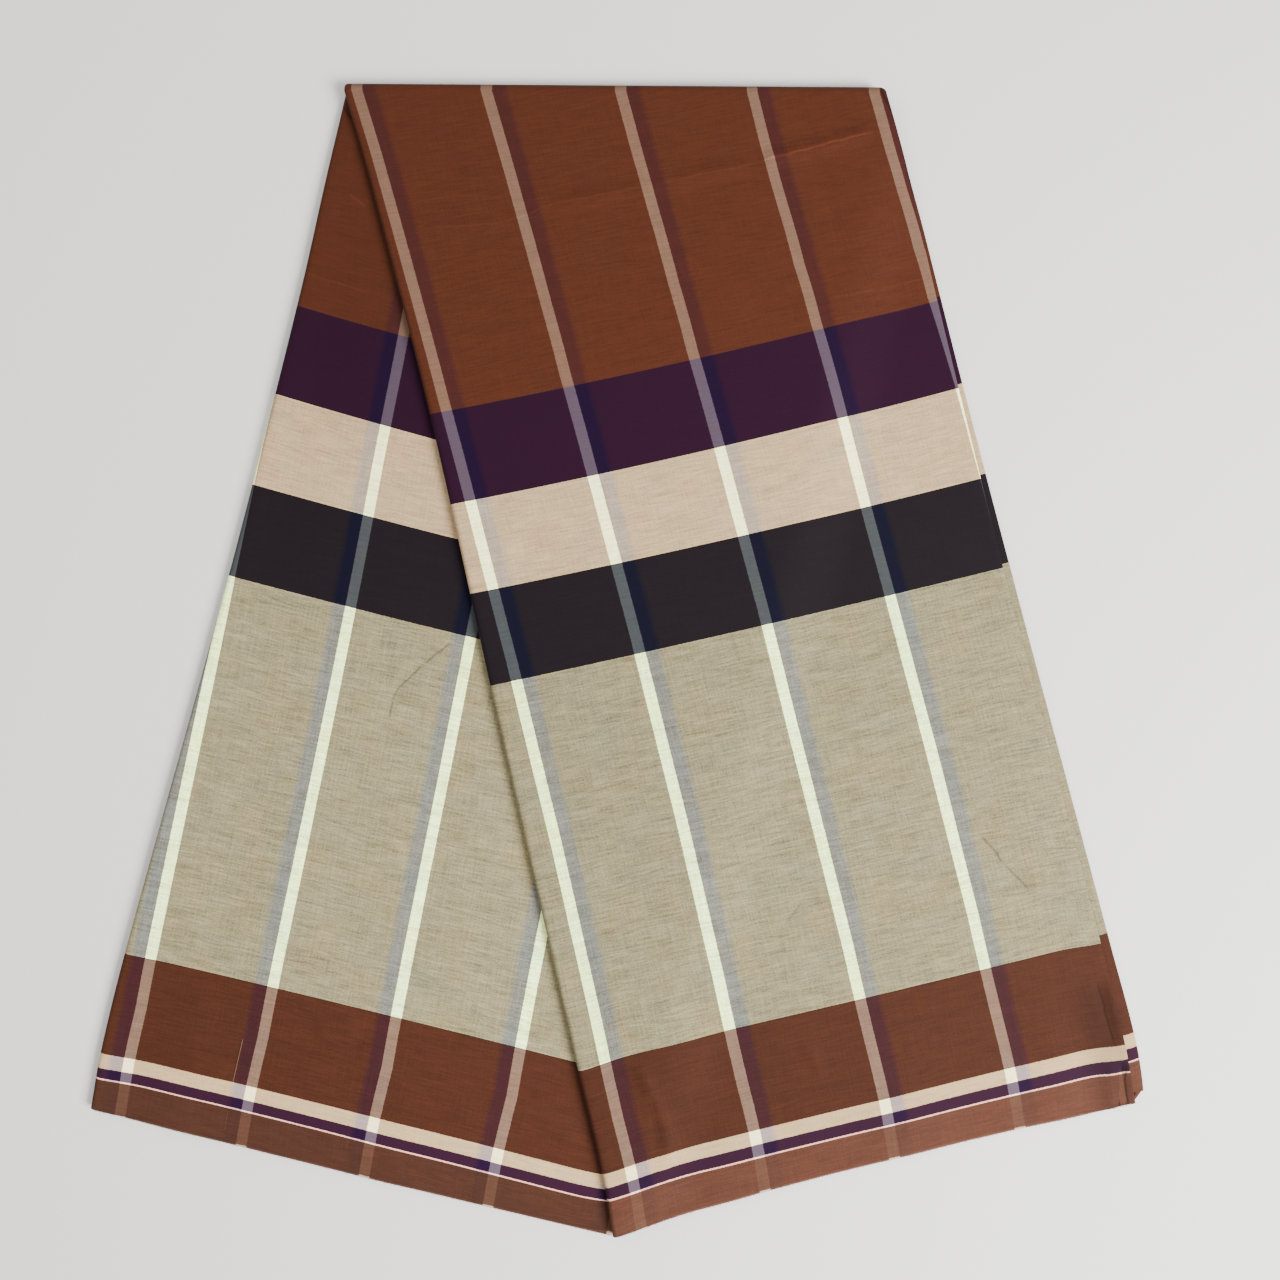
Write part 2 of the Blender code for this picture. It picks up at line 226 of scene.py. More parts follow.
# Distance of each white stripe's left edge from the left fold, down each half.
Picks = namedtuple("Picks", "share first second third fourth fifth")
FRONT_STRIPES = [
    Picks(0.00, 0.0040, 0.0729, 0.1446, 0.2150, 0.2800),
    Picks(0.08, 0.0044, 0.0728, 0.1437, 0.2131, 0.2790),
    Picks(0.18, 0.0055, 0.0720, 0.1411, 0.2089, 0.2740),
    Picks(0.24, 0.0062, 0.0723, 0.1412, 0.2090, 0.2738),
    Picks(0.33, 0.0080, 0.0745, 0.1437, 0.2116, 0.2775),
    Picks(0.48, 0.0112, 0.0784, 0.1478, 0.2160, 0.2820),
    Picks(0.65, 0.0128, 0.0806, 0.1506, 0.2196, 0.2900),
    Picks(0.80, 0.0126, 0.0810, 0.1526, 0.2217, 0.2905),
    Picks(0.90, 0.0118, 0.0805, 0.1526, 0.2218, 0.2905),
    Picks(1.00, 0.0130, 0.0816, 0.1532, 0.2226, 0.2905),
]
BACK_STRIPES = [
    Picks(0.00, -0.0180, 0.0495, 0.1160, 0.1840, 0.2520),
    Picks(0.25, -0.0095, 0.0563, 0.1230, 0.1910, 0.2590),
    Picks(0.37, -0.0060, 0.0596, 0.1268, 0.1950, 0.2630),
    Picks(0.50, -0.0020, 0.0647, 0.1311, 0.1995, 0.2675),
    Picks(0.75, 0.0077, 0.0749, 0.1423, 0.2107, 0.2784),
    Picks(0.90, 0.0133, 0.0804, 0.1489, 0.2177, 0.2850),
    Picks(1.00, 0.0136, 0.0804, 0.1484, 0.2167, 0.2850),
]
# How much further down the cloth the fold below the top layer shows at the same place.
Shift = namedtuple("Shift", "share further")
UNDER_FOLD_SHIFTS = [
    Shift(0.00, 0.0022),
    Shift(0.50, 0.0020),
    Shift(0.85, 0.0040),
    Shift(1.00, 0.0047),
]
UNDER_FOLD_PICK = 0.030  # the fold shows the plain ground between two cross stripes
STRIPES_MEET = 0.25  # share over which the back's far side leaves the front's stripes

# Creases: a path from start by way of middle to end, in the tables' own X and Y. The cloth
# rises by height over width to each side of it, and a trough has a height below 0. line is
# the painted highlight on the crease's sharp line, as a share of the colour, below 0 the
# painted shade in it, and 0 where the crease is only soft.
Crease = namedtuple("Crease", "start middle end width height line")
FRONT_CREASES = [
    # From packing, over the rust.
    Crease((-0.1020, 0.2300), (-0.0800, 0.2312), (-0.0590, 0.2334), 0.0030, 0.00050, 0.17),
    Crease((-0.0600, 0.2333), (-0.0470, 0.2378), (-0.0380, 0.2427), 0.0030, 0.00056, 0.20),
    Crease((-0.0420, 0.2417), (0.0170, 0.2527), (0.0780, 0.2659), 0.0036, 0.00110, 0.22),
    Crease((0.0740, 0.2650), (0.1080, 0.2742), (0.1400, 0.2828), 0.0036, 0.00140, 0.58),
    Crease((0.0990, 0.2950), (0.1120, 0.2470), (0.1270, 0.1990), 0.0030, -0.00030, 0.0),
    Crease((-0.1000, 0.1660), (-0.0472, 0.1757), (-0.0077, 0.1816), 0.0030, 0.00016, 0.06),
    Crease((0.1127, 0.1929), (0.1395, 0.1982), (0.1668, 0.2057), 0.0030, 0.00016, 0.20),
    # Beside the last stripe, where the edge turns down.
    Crease((0.1410, 0.3060), (0.1452, 0.2970), (0.1492, 0.2862), 0.0025, -0.00045, -0.53),
    Crease((0.1486, 0.2885), (0.1585, 0.2515), (0.1692, 0.2128), 0.0025, -0.00045, -0.53),
    # Over the beige.
    Crease((0.1949, -0.0928), (0.2082, -0.1094), (0.2215, -0.1228), 0.0028, -0.00060, -0.46),
    Crease((0.1910, -0.0850), (0.1955, -0.0910), (0.2000, -0.0970), 0.0028, 0.00030, 0.0),
    Crease((0.2000, -0.1010), (0.2130, -0.0995), (0.2260, -0.0980), 0.0030, 0.00026, 0.0),
    Crease((0.1250, -0.0370), (0.1410, -0.0300), (0.1570, -0.0240), 0.0032, 0.00040, 0.19),
    Crease((0.0720, -0.0950), (0.0745, -0.1100), (0.0770, -0.1250), 0.0030, -0.00026, 0.0),
    Crease((0.0900, -0.1420), (0.0950, -0.1355), (0.1000, -0.1290), 0.0028, -0.00045, -0.27),
    Crease((0.0710, -0.1500), (0.0780, -0.1535), (0.0850, -0.1570), 0.0030, -0.00026, 0.0),
    Crease((0.1370, -0.1350), (0.1410, -0.1415), (0.1450, -0.1480), 0.0030, -0.00030, 0.0),
    Crease((0.1290, -0.0850), (0.1310, -0.0955), (0.1330, -0.1060), 0.0032, 0.00022, 0.0),
    Crease((0.0270, -0.0760), (0.0385, -0.1270), (0.0500, -0.1780), 0.0040, -0.00022, -0.12),
    # Over the lower rust and the selvedge, with the pleats at the right-hand corner.
    Crease((0.0090, -0.2110), (0.0233, -0.2420), (0.0285, -0.2620), 0.0036, 0.00120, 0.0),
    Crease((0.0190, -0.2310), (0.0206, -0.2420), (0.0246, -0.2560), 0.0032, -0.00050, -0.11),
    Crease((0.0272, -0.2570), (0.0270, -0.2650), (0.0245, -0.2760), 0.0036, 0.00060, 0.0),
    Crease((0.1000, -0.2030), (0.1055, -0.2135), (0.1110, -0.2240), 0.0036, 0.00070, 0.0),
    Crease((0.2580, -0.1710), (0.2630, -0.1890), (0.2672, -0.2070), 0.0034, -0.00100, -0.46),
    Crease((0.2650, -0.1760), (0.2692, -0.1920), (0.2735, -0.2080), 0.0028, 0.00080, 0.0),
    Crease((0.2718, -0.2150), (0.2710, -0.2270), (0.2699, -0.2430), 0.0022, -0.00080, -0.62),
    Crease((0.2728, -0.2150), (0.2737, -0.2270), (0.2749, -0.2430), 0.0022, -0.00060, -0.62),
    Crease((0.2456, -0.0853), (0.2530, -0.1160), (0.2603, -0.1466), 0.0030, -0.00030, -0.24),
    Crease((0.2640, -0.2190), (0.2645, -0.2300), (0.2655, -0.2420), 0.0034, 0.00080, 0.0),
]
BACK_CREASES = [
    Crease((-0.0880, 0.0100), (-0.1035, -0.0018), (-0.1172, -0.0152), 0.0030, -0.00050, -0.50),
    Crease((-0.1160, -0.0138), (-0.1200, -0.0215), (-0.1212, -0.0310), 0.0030, -0.00042, -0.40),
    Crease((-0.1190, 0.0010), (-0.1232, -0.0068), (-0.1270, -0.0150), 0.0030, -0.00030, 0.0),
    Crease((-0.0860, -0.1290), (-0.0900, -0.1360), (-0.0940, -0.1430), 0.0030, -0.00026, 0.0),
    Crease((-0.1620, -0.1980), (-0.1500, -0.1985), (-0.1390, -0.2030), 0.0060, 0.00070, 0.0),
    Crease((-0.2300, -0.2150), (-0.2190, -0.2190), (-0.2070, -0.2210), 0.0045, 0.00065, 0.0),
    Crease((-0.1446, 0.2506), (-0.1395, 0.2470), (-0.1344, 0.2437), 0.0030, 0.00050, 0.27),
    Crease((-0.1467, 0.2972), (-0.1440, 0.2940), (-0.1414, 0.2902), 0.0024, -0.00060, -0.61),
    Crease((-0.1414, 0.2731), (-0.1388, 0.2712), (-0.1360, 0.2688), 0.0026, -0.00026, 0.0),
    Crease((-0.1700, 0.2085), (-0.1520, 0.2030), (-0.1330, 0.1975), 0.0030, 0.00030, 0.19),
]
# On the sides that rest on something, which they only lift off from.
HIDDEN_CREASES = [
    Crease((-0.0900, 0.2300), (0.0100, 0.2480), (0.1300, 0.2760), 0.0040, 0.00026, 0.0),
    Crease((0.0600, 0.0200), (0.0980, 0.0060), (0.1400, 0.0040), 0.0050, 0.00022, 0.0),
    Crease((0.1500, -0.0900), (0.1840, -0.1080), (0.2080, -0.1400), 0.0045, 0.00030, 0.0),
    Crease((0.0300, -0.2100), (0.0440, -0.2350), (0.0500, -0.2600), 0.0045, 0.00028, 0.0),
    Crease((-0.1750, 0.1200), (-0.1500, 0.1120), (-0.1200, 0.1150), 0.0045, 0.00024, 0.0),
    Crease((-0.1900, -0.0300), (-0.1500, -0.0480), (-0.1050, -0.0520), 0.0050, 0.00030, 0.0),
    Crease((-0.2200, -0.1700), (-0.2080, -0.1950), (-0.2040, -0.2150), 0.0042, 0.00026, 0.0),
    Crease((-0.0900, -0.1500), (-0.0620, -0.1620), (-0.0300, -0.1600), 0.0048, 0.00022, 0.0),
]

# What varies in the cloth. Scales are counts to a metre along and across the bands, or one
# count for both, and shares are how much of the colour each takes.
THREAD_BEND = (45.0, 0.0014)  # count, and how far the threads wander
SLUB_SCALE = (72.0, 800.0)
SOFT_SLUB_SCALE, SOFT_SLUB_SHARE = (32.0, 170.0), 0.32
CROSS_SLUB_SCALE, CROSS_SLUB_SHARE = (850.0, 55.0), 0.35
SPECK_SCALE, SPECK_SHARE = 1200.0, 0.5
WARM_SCALE, WARM_SHARE = 40.0, 0.14
WAVER = (900.0, 0.0005)  # count, and how far the colours' edges wander
RAGGED = 0.0028  # how far the slubs push the blue's outer edge
WHITE_CLEAR, WHITE_SPECK = 1.12, 0.25  # how white the white is, and its specks
BLUE_SLUB = 0.9
PALE_RIM, DARK_RIM = 0.14, 0.30
SELVEDGE_SHADE_START = (0.4310, 0.4314)  # where the selvedge's painted shade comes in
OUTER_REACH = 0.20  # where the outer level of painted light is reached
WEAVE_RELIEF, SLUB_RELIEF, RELIEF_DEPTH = 0.35, 1.4, 0.00012
ROUGHNESS, SLUB_ROUGHNESS = 0.74, 0.12

CREASE_FADE = 0.15  # share of a crease over which each end fades out
CREASE_REACH = 3.0  # widths past which a crease is no longer felt
LINE_WIDTH = 0.0009  # how far the painted highlight or painted shade of a crease's sharp line reaches to each side
LINE_WANDER = (160.0, 1.6)  # count to a metre, and how many of its widths it wanders over
STRAIGHT = 0.0007  # a path that bends by less is drawn as one straight line

# A white pick that strayed out of the second stripe on the back, seen over these shares.
STRAY_PICK = [(0.906, 0.947), (0.972, 0.989)]
STRAY_OFFSET = 0.0072  # to the left of the white stripe
STRAY_RADIUS = 0.00016
STRAY_ROWS, STRAY_SIDES = 24, 6

# Painted light and shade, as factors on the chart's colours, over the cloth's middle, its outer
# part and its selvedge, and the painted light added on the white stripes over the selvedge.
# corner is the painted shade in the lower right-hand corner, where the cloth turns away from the
# light.
PaintedLight = namedtuple("PaintedLight", "middle outer selvedge white_there corner")
FRONT_PAINTED_LIGHT = PaintedLight(1.00, 1.00, 1.00, 0.00, 0.30)
BACK_PAINTED_LIGHT = PaintedLight(0.92, 1.15, 0.70, 0.22, 0.00)
LEAF_PAINTED_LIGHT = PaintedLight(0.90, 0.92, 0.90, 0.00, 0.00)
FOLD_PAINTED_LIGHT = PaintedLight(0.98, 0.98, 0.98, 0.00, 0.00)
CORNER_SHADE_ALONG = (0.242, 0.258)  # where that corner's painted shade starts and is reached, along the stripes
CORNER_SHADE_ACROSS = (0.372, 0.392)  # and across them

# Mesh density.
FRONT_ROWS = 230
BACK_ROWS = 230
SHOWN_COLUMNS = 120
HIDDEN_COLUMNS = 45
ROLL_ROWS = 14
ARC_COLUMNS = 8
UNDER_FOLD_COLUMNS = 14
EDGE_ROWS = 90
EDGE_COLUMNS = 4
LIP_STEPS = 5
TURN = 0.0030  # how far a layer's edge is turned in under itself
SIDE_FADE = 0.0030  # creases fade out this far from an edge
CREASE_SAMPLES = 40

# Leaves between the outer layers.
LEAF_PITCH = 0.00055
LEAF_THICKNESS = 0.00040
LEAF_DEPTH = 0.06  # share of the length that they reach in from the selvedge
LEAF_ROWS = 6
LEAF_COLUMNS = 70
LEAF_ENDS = [0.0008, 0.0022, 0.0012]  # how far each stops inside the selvedge, outer first
LEAF_SHORT = 0.0045  # how far the front's outer one stops inside the right-hand edge
EDGE_DEPTH = 0.012  # how far they reach in from the right-hand edge
EDGE_INSETS = [0.0006, 0.0018, 0.0009, 0.0024, 0.0012, 0.0020]

LOOP_PLACE = 0.4505  # the loops' own place past the selvedge in the chart
LOOP_SPACING, SPACING_RANGE = 0.0013, (0.7, 1.4)
LOOP_RADIUS, RADIUS_RANGE = 0.00030, (0.7, 1.5)
YARN_RADIUS = 0.00013
LOOP_SIDES = 5  # round the yarn, and as many steps along it
LOOP_MARGIN = 0.001  # left free at both ends of a selvedge
LOOP_INNER = 0.99  # share of the section that shows which way is out of the cloth

# The camera looks straight down on the photograph's middle, given in the tables' frame.
VIEW_CENTRE = (0.0127, 0.0110)
VIEW_WIDTH = 0.685
VIEW_LEVEL = 0.006  # the height at which the view is that wide
FLOOR_SIZE, FLOOR_LEVEL = 4.0, -0.0003
GRAIN_SCALE, GRAIN_SHARE, GRAIN_COLOUR = 40.0, 0.04, (0.52, 0.52, 0.50)  # of the floor
# Lights, with their places from the view's middle. power names their setting.
Lamp = namedtuple("Lamp", "name offset size power")
LAMPS = [
    Lamp("key light", (1.02, -0.55, 1.05), 0.8, "key_power"),
    Lamp("fill light", (-1.1, 0.7, 1.6), 1.6, "fill_power"),
]
SKY_COLOUR = (1.0, 0.99, 0.97, 1.0)


def smooth(value):
    """0 to 1 with a level start and end."""
    value = np.clip(value, 0.0, 1.0)
    return value * value * (3.0 - 2.0 * value)


def along(rows, share):
    """The columns after share, read from a smooth curve through the table's rows."""
    knots = [row[0] for row in rows]
    i = max(k for k in range(len(rows) - 1) if k == 0 or knots[k] <= share)
    span = knots[i + 1] - knots[i]
    t = (share - knots[i]) / span

    def slope(k, column):
        low, high = max(k - 1, 0), min(k + 1, len(rows) - 1)
        return (rows[high][column] - rows[low][column]) / (knots[high] - knots[low])

    values = []
    for column in range(1, len(rows[0])):
        start, end = rows[i][column], rows[i + 1][column]
        out, into = slope(i, column) * span, slope(i + 1, column) * span
        values.append(
            start * (1 + 2 * t) * (1 - t) ** 2
            + out * t * (1 - t) ** 2
            + end * t * t * (3 - 2 * t)
            + into * t * t * (t - 1)
        )
    return values


def back_edge_x(y):
    """Where the back half's straight right edge is at this y."""
    top, end = BACK_HALF[0], BACK_HALF[-1]
    part = (top.right_y - y) / (top.right_y - end.right_y)
    return top.right_x + (end.right_x - top.right_x) * part


def drape(x, y):
    """How high the front half is held up: by the back half, then down to the floor."""
    return (PACKET + GAP) * (1.0 - smooth((x - back_edge_x(y) - DRAPE_START) / DRAPE_WIDTH))


def share_of(length):
    """A length along the strip as a share of one half's length."""
    top, end = BACK_HALF[0], BACK_HALF[-1]
    return length / math.hypot(top.left_x - end.left_x, top.left_y - end.left_y)


class Station:
    """One section of the strip: it turns (distance from the left fold, height) into points."""

    def __init__(self, rows, ripples, share, corner=0.0):
        left_x, left_y, right_x, right_y, bow = along(rows, share)
        self.left = np.array((left_x, left_y))
        across = np.array((right_x - corner, right_y)) - self.left
        self.width = math.hypot(*across)
        self.across = across / self.width
        self.towards_fold = np.array((-self.across[1], self.across[0]))
        self.share, self.bow, self.ripples = share, bow, ripples
        self.fold = float(self.thickness(0.0)) / 2  # radius of the outer fold on the left

    def thickness(self, q):
        """Height of the folded strip here, fuller at the outer fold and at the ripples."""
        grown = smooth(self.share / share_of(PUFF_START))
        full = PACKET + FOLD_PUFF * grown * np.exp(-((q / PUFF_REACH) ** 2))
        for ripple in self.ripples:
            off = (q - ripple.across * self.width) / ripple.width
            grown = smooth((self.share - ripple.start) / (1.0 - ripple.start))
            full = full + ripple.height * grown * np.exp(-off * off)
        return full

    def near_edge(self):
        """Where the layer on the near side ends on the right."""
        return self.width

    def plan(self, q):
        part = q / self.width
        bow = 4 * self.bow * part * (1 - part)
        return (
            self.left[0] + self.across[0] * q + self.towards_fold[0] * bow,
            self.left[1] + self.across[1] * q + self.towards_fold[1] * bow,
        )


class FrontStation(Station):
    def __init__(self, share):
        super().__init__(FRONT_HALF, FRONT_RIPPLES, share)

    def near_edge(self):
        return self.width + along(UNDER_FOLD, self.share)[0]

    def points(self, q, height):
        x, y = self.plan(q)
        return np.stack((x, y, drape(x, y) + height), axis=-1)


class BackStation(Station):
    def __init__(self, share):
        super().__init__(BACK_HALF, BACK_RIPPLES, share)

    def points(self, q, height):
        x, y = self.plan(q)
        return np.stack((x, y, self.thickness(q) - height), axis=-1)


class RollStation(Station):
    """A section on the top fold, turned about its axis from the front (0) to the back (1)."""

    def __init__(self, turn):
        self.turn = turn
        super().__init__(FRONT_HALF, [], 0.0, CORNER_ROUND * math.sin(math.pi * turn) ** 2)

    def points(self, q, height):
        x, y = self.plan(q)
        radius = HALF_GAP + height
        angle = math.pi * self.turn
        y, z = y + radius * math.sin(angle), ROLL_HEIGHT + radius * math.cos(angle)
        return np.stack((x, y, z), axis=-1)


# A line over a section of cloth. q and height place it. girth is measured along the cloth
# from where the side away from the other half meets the left fold: above 0 on that side,
# below 0 round the fold and on the near side.
Line = namedtuple("Line", "q height girth")


def join(*parts):
    """One line from several."""
    return Line(*(np.concatenate(column) for column in zip(*parts)))


def spaced(start, end, count):
    """Evenly spaced values, with this many steps between start and end."""
    return np.linspace(start, end, count + 1)


def half_turn():
    """Angles round a fold, without its two ends."""
    return spaced(0.0, math.pi, ARC_COLUMNS)[1:-1]


def left_fold(fold, radius):
    """Round the outer fold on the left, at this radius inside it."""
    arc = half_turn()
    return Line(fold - radius * np.sin(arc), fold + radius * np.cos(arc), -fold * arc)


def wrap_line(station, columns_far, columns_near):
    """The outer cloth round the strip: edge, far side, left fold, near side, edge.

    Both edges are turned in under themselves.
    """
    lip, fold = WALL / 2, station.fold
    far_edge, near_edge = station.width, station.near_edge()
    round_lip = spaced(0.0, math.pi, LIP_STEPS)

    q = np.array([far_edge - lip - TURN, far_edge - lip - TURN / 2])
    end_girth = far_edge - lip - fold
    far_lip = join(
        Line(q, station.thickness(q) - 2 * lip, end_girth + math.pi * lip + (far_edge - lip - q)),
        Line(
            far_edge - lip + lip * np.sin(round_lip),
            station.thickness(far_edge) - lip - lip * np.cos(round_lip),
            end_girth + lip * (math.pi - round_lip),
        ),
    )
    q = spaced(far_edge - lip, fold, columns_far)[1:]
    far = Line(q, station.thickness(q), q - fold)
    q = spaced(fold, near_edge - lip, columns_near)[:-1]
    near = Line(q, np.zeros_like(q), -math.pi * fold - (q - fold))
    start_girth = -math.pi * fold - (near_edge - lip - fold)
    q = np.array([near_edge - lip - TURN / 2, near_edge - lip - TURN])
    near_lip = join(
        Line(
            near_edge - lip + lip * np.sin(round_lip),
            lip - lip * np.cos(round_lip),
            start_girth - lip * round_lip,
        ),
        Line(
            q,
            np.full_like(q, 2 * lip),
            start_girth - math.pi * lip - (near_edge - lip - q),
        ),
    )
    return join(far_lip, far, left_fold(fold, fold), near, near_lip)


def leaf_line(station, inset, end):
    """A leaf inside the outer cloth, from its end round the left fold and back."""
    fold = station.fold
    q = spaced(end, fold, LEAF_COLUMNS)
    far = Line(q, station.thickness(q) - inset, q - fold)
    q = spaced(fold, end, LEAF_COLUMNS)
    near = Line(q, np.full_like(q, inset), -math.pi * fold - (q - fold))
    return join(far, left_fold(fold, fold - inset), near)


def under_fold_line(station, inset):
    """The fold that peeps out below the top layer: in under it, out, round and back."""
    start = station.width * (1 - UNDER_FOLD_IN) + GAP
    reach = station.near_edge()
    clear = WALL + GAP + inset
    middle = station.thickness(station.width) / 2
    radius = middle - clear
    q = spaced(start, reach - radius - inset, UNDER_FOLD_COLUMNS)
    far = Line(q, station.thickness(q) - clear, q - reach)
    arc = half_turn()
    edge = Line(
        reach - radius - inset + radius * np.sin(arc),
        middle + radius * np.cos(arc),
        radius * arc,
    )
    near = Line(q[::-1], np.full_like(q, clear), reach - q[::-1])
    return join(far, edge, near)


def stripe_place(table, share):
    """Distances of the white stripes' left edges from the left fold at this share."""
    shares = [row.share for row in table]
    return np.array([np.interp(share, shares, [row[k] for row in table]) for k in range(1, 6)])


def chart(distances, places, q):
    """places at distances, read at q, and going on at full size past both ends."""
    low, high = distances[0], distances[-1]
    read = np.interp(q, distances, places)
    rising = math.copysign(1.0, places[-1] - places[0])
    return read + rising * (np.minimum(q - low, 0.0) + np.maximum(q - high, 0.0))


def front_pick(share, q):
    """Place along the cloth's length at a distance from the left fold on the front."""
    return chart(stripe_place(FRONT_STRIPES, share), STRIPE_REPEAT * np.arange(5), q)


def back_pick(share, q):
    """The same on the back half's near side, where the cloth runs the other way."""
    ends = stripe_place(BACK_STRIPES, share) + WHITE_WIDTH
    return chart(ends, -STRIPE_REPEAT * np.arange(5), q)


def band_place(woven, share, part):
    """Place across the woven width, part of the way over the strip, at this share."""
    shares, left_sags, right_sags = zip(*woven.sags)
    near_left = np.exp(-((part / LEFT_SAG_REACH) ** 2))
    near_right = np.exp(-(((1 - part) / RIGHT_SAG_REACH) ** 2))
    left_sag, right_sag = (np.interp(share, shares, sags) for sags in (left_sags, right_sags))
    share = share - left_sag * near_left - right_sag * near_right
    places = [row.place for row in woven.bands]

    def read(at_top, column):
        return np.interp(share, [0.0, *(row[column] for row in woven.bands)], [at_top, *places])

    left, right = read(woven.top[0], 1), read(woven.top[1], 3)
    middle = read((woven.top[0] + woven.top[1]) / 2, 2)
    return left + (right - left) * part + (4 * middle - 2 * left - 2 * right) * part * (1 - part)


def front_cloth_places(station, line):
    """Where the points of a line on the front half are on the flat cloth."""
    share = 0.0 if isinstance(station, (RollStation, BackStation)) else station.share
    fold = station.fold
    at_fold = front_pick(share, np.array([fold]))[0]
    pick = np.where(line.girth > 0, front_pick(share, fold + line.girth), at_fold + line.girth)
    place = band_place(FRONT_CHART, share, line.q / station.width)
    if isinstance(station, RollStation):
        place = place - (HALF_GAP + line.height) * math.pi * station.turn
    if isinstance(station, BackStation):
        past_fold = SEAM_AT * station.share / share_of(SEAM_AT)
        place = place - (HALF_GAP + line.height) * math.pi - past_fold
    return np.stack((pick, place), axis=-1)


def back_cloth_places(station, line):
    """The same on the back half. Its band places are mirrored about the cloth's middle."""
    fold = station.fold
    out = -line.girth - math.pi * fold  # above 0 on the near side
    at_fold = back_pick(station.share, np.array([fold]))[0]
    pick = np.where(out > 0, back_pick(station.share, fold + out), at_fold - out)
    # Its far side meets the front cloth's stripes at the top fold.
    meets = front_pick(0.0, np.array([fold]))[0] - (at_fold + math.pi * fold)
    to_far_side = smooth(-out / (math.pi * fold))
    pick = pick + meets * to_far_side * (1.0 - smooth(station.share / STRIPES_MEET))
    place = band_place(BACK_CHART, station.share, line.q / station.width)
    return np.stack((pick, 2 * MIDDLE - place), axis=-1)


def under_fold_places(station, line):
    """The same on the fold that peeps out, which shows a little more of the cloth."""
    place = band_place(FRONT_CHART, station.share, line.q / station.width)
    place = place + np.interp(station.share, *zip(*UNDER_FOLD_SHIFTS))
    return np.stack((UNDER_FOLD_PICK + line.girth, place), axis=-1)


def crease_lift(points, creases):
    """How far these creases lift each point."""
    lift = np.zeros(points.shape[:-1])
    t = spaced(0.0, 1.0, CREASE_SAMPLES)[:, None]
    for crease in creases:
        start, middle, end = (np.array(p) for p in (crease.start, crease.middle, crease.end))
        path = start * (1 - t) ** 2 + (4 * middle - start - end) * t * (1 - t) + end * t**2
        reach, plan = CREASE_REACH * crease.width, points[..., :2]
        inside = (plan > path.min(axis=0) - reach) & (plan < path.max(axis=0) + reach)
        inside = inside.all(axis=-1)
        if not inside.any():
            continue
        off = np.linalg.norm(points[inside][:, None, :2] - path, axis=-1)
        at = t[off.argmin(axis=-1), 0]
        fade = smooth(np.minimum(at, 1 - at) / CREASE_FADE)
        lift[inside] += crease.height * fade * np.exp(-((off.min(axis=-1) / crease.width) ** 2))
    return lift


def add_grid(mesh_in, points, places):
    """Adds a grid of faces and moves it onto rows of points. Returns each new vertex's place."""
    rows, columns = points.shape[:2]
    made = bmesh.ops.create_grid(mesh_in, x_segments=columns - 1, y_segments=rows - 1, size=0.5)
    found = []
    for vertex in made["verts"]:
        i = round((vertex.co.x + 0.5) * (columns - 1))
        j = round((vertex.co.y + 0.5) * (rows - 1))
        vertex.co = Vector(points[j, i]) + PLACE
        found.append(places[j, i])
    return found


def add_grids(mesh_in, grids):
    """Adds grids of points, with their places on the flat cloth as the mesh's UV map."""
    places = [place for points, flat in grids for place in add_grid(mesh_in, points, flat)]
    mesh_in.verts.index_update()
    layer = mesh_in.loops.layers.uv.new("Cloth")
    for face in mesh_in.faces:
        for loop in face.loops:
            loop[layer].uv = places[loop.vert.index]


def add_object(name, mesh_in, material):
    """Makes an object of a finished mesh."""
    mesh = bpy.data.meshes.new(name)
    mesh_in.to_mesh(mesh)
    mesh_in.free()
    mesh.materials.append(material)
    mesh.shade_smooth()
    piece = bpy.data.objects.new(name, mesh)
    bpy.context.scene.collection.objects.link(piece)
    return piece


def add_sheet(name, grids, thickness, material, facing_up):
    """One piece of cloth from grids of points and their places on the flat cloth.

    facing_up is the row and column of a cell whose outer side looks up.
    """
    mesh_in = bmesh.new()
    add_grids(mesh_in, grids)
    mesh_in.normal_update()
    points = grids[0][0]
    j, i = facing_up
    corner = points[j, i]
    up = np.cross(points[j, i + 1] - corner, points[j + 1, i] - corner)[2]
    if up < 0:
        bmesh.ops.reverse_faces(mesh_in, faces=mesh_in.faces)
    piece = add_object(name, mesh_in, material)
    wall = piece.modifiers.new("Cloth thickness", "SOLIDIFY")
    wall.thickness = thickness
    wall.offset = -1.0
    return piece


def sheet_grid(stations, line_of, places_of, sides=()):
    """Points and flat places of a sheet through these stations.

    sides is pairs of creases and the function that says which side they are on.
    """
    lines = [line_of(station) for station in stations]
    points = np.array([s.points(line.q, line.height) for s, line in zip(stations, lines)])
    places = np.array([places_of(s, line) for s, line in zip(stations, lines)])
    flat = points.copy()
    for creases, side in sides:
        weight = np.array([side(s, line) for s, line in zip(stations, lines)])
        points[..., 2] += crease_lift(flat, creases) * weight
    return points, places


def front_stations():
    return [FrontStation(share) for share in spaced(0.0, 1.0, FRONT_ROWS)]


def back_stations(first, count=BACK_ROWS):
    return [BackStation(share) for share in spaced(first, 1.0, count)]


def roll_stations():
    return [RollStation(turn) for turn in spaced(0.0, 1.0, ROLL_ROWS)]


def far_side(station, line):
    """1 on the far side, fading out at its edges."""
    shown = 1.0
    if isinstance(station, RollStation):
        shown = smooth(1.0 - 2.0 * station.turn)
    if isinstance(station, BackStation) and station.share <= share_of(SEAM_AT):
        shown = 0.0
    return shown * smooth(line.girth / SIDE_FADE) * smooth((station.width - line.q) / SIDE_FADE)


def near_side(station, line):
    """1 on the near side, fading out at its edges."""
    if isinstance(station, RollStation):
        return np.zeros_like(line.q)
    past_fold = -line.girth - math.pi * station.fold
    return smooth(past_fold / SIDE_FADE) * smooth((station.width - line.q) / SIDE_FADE)


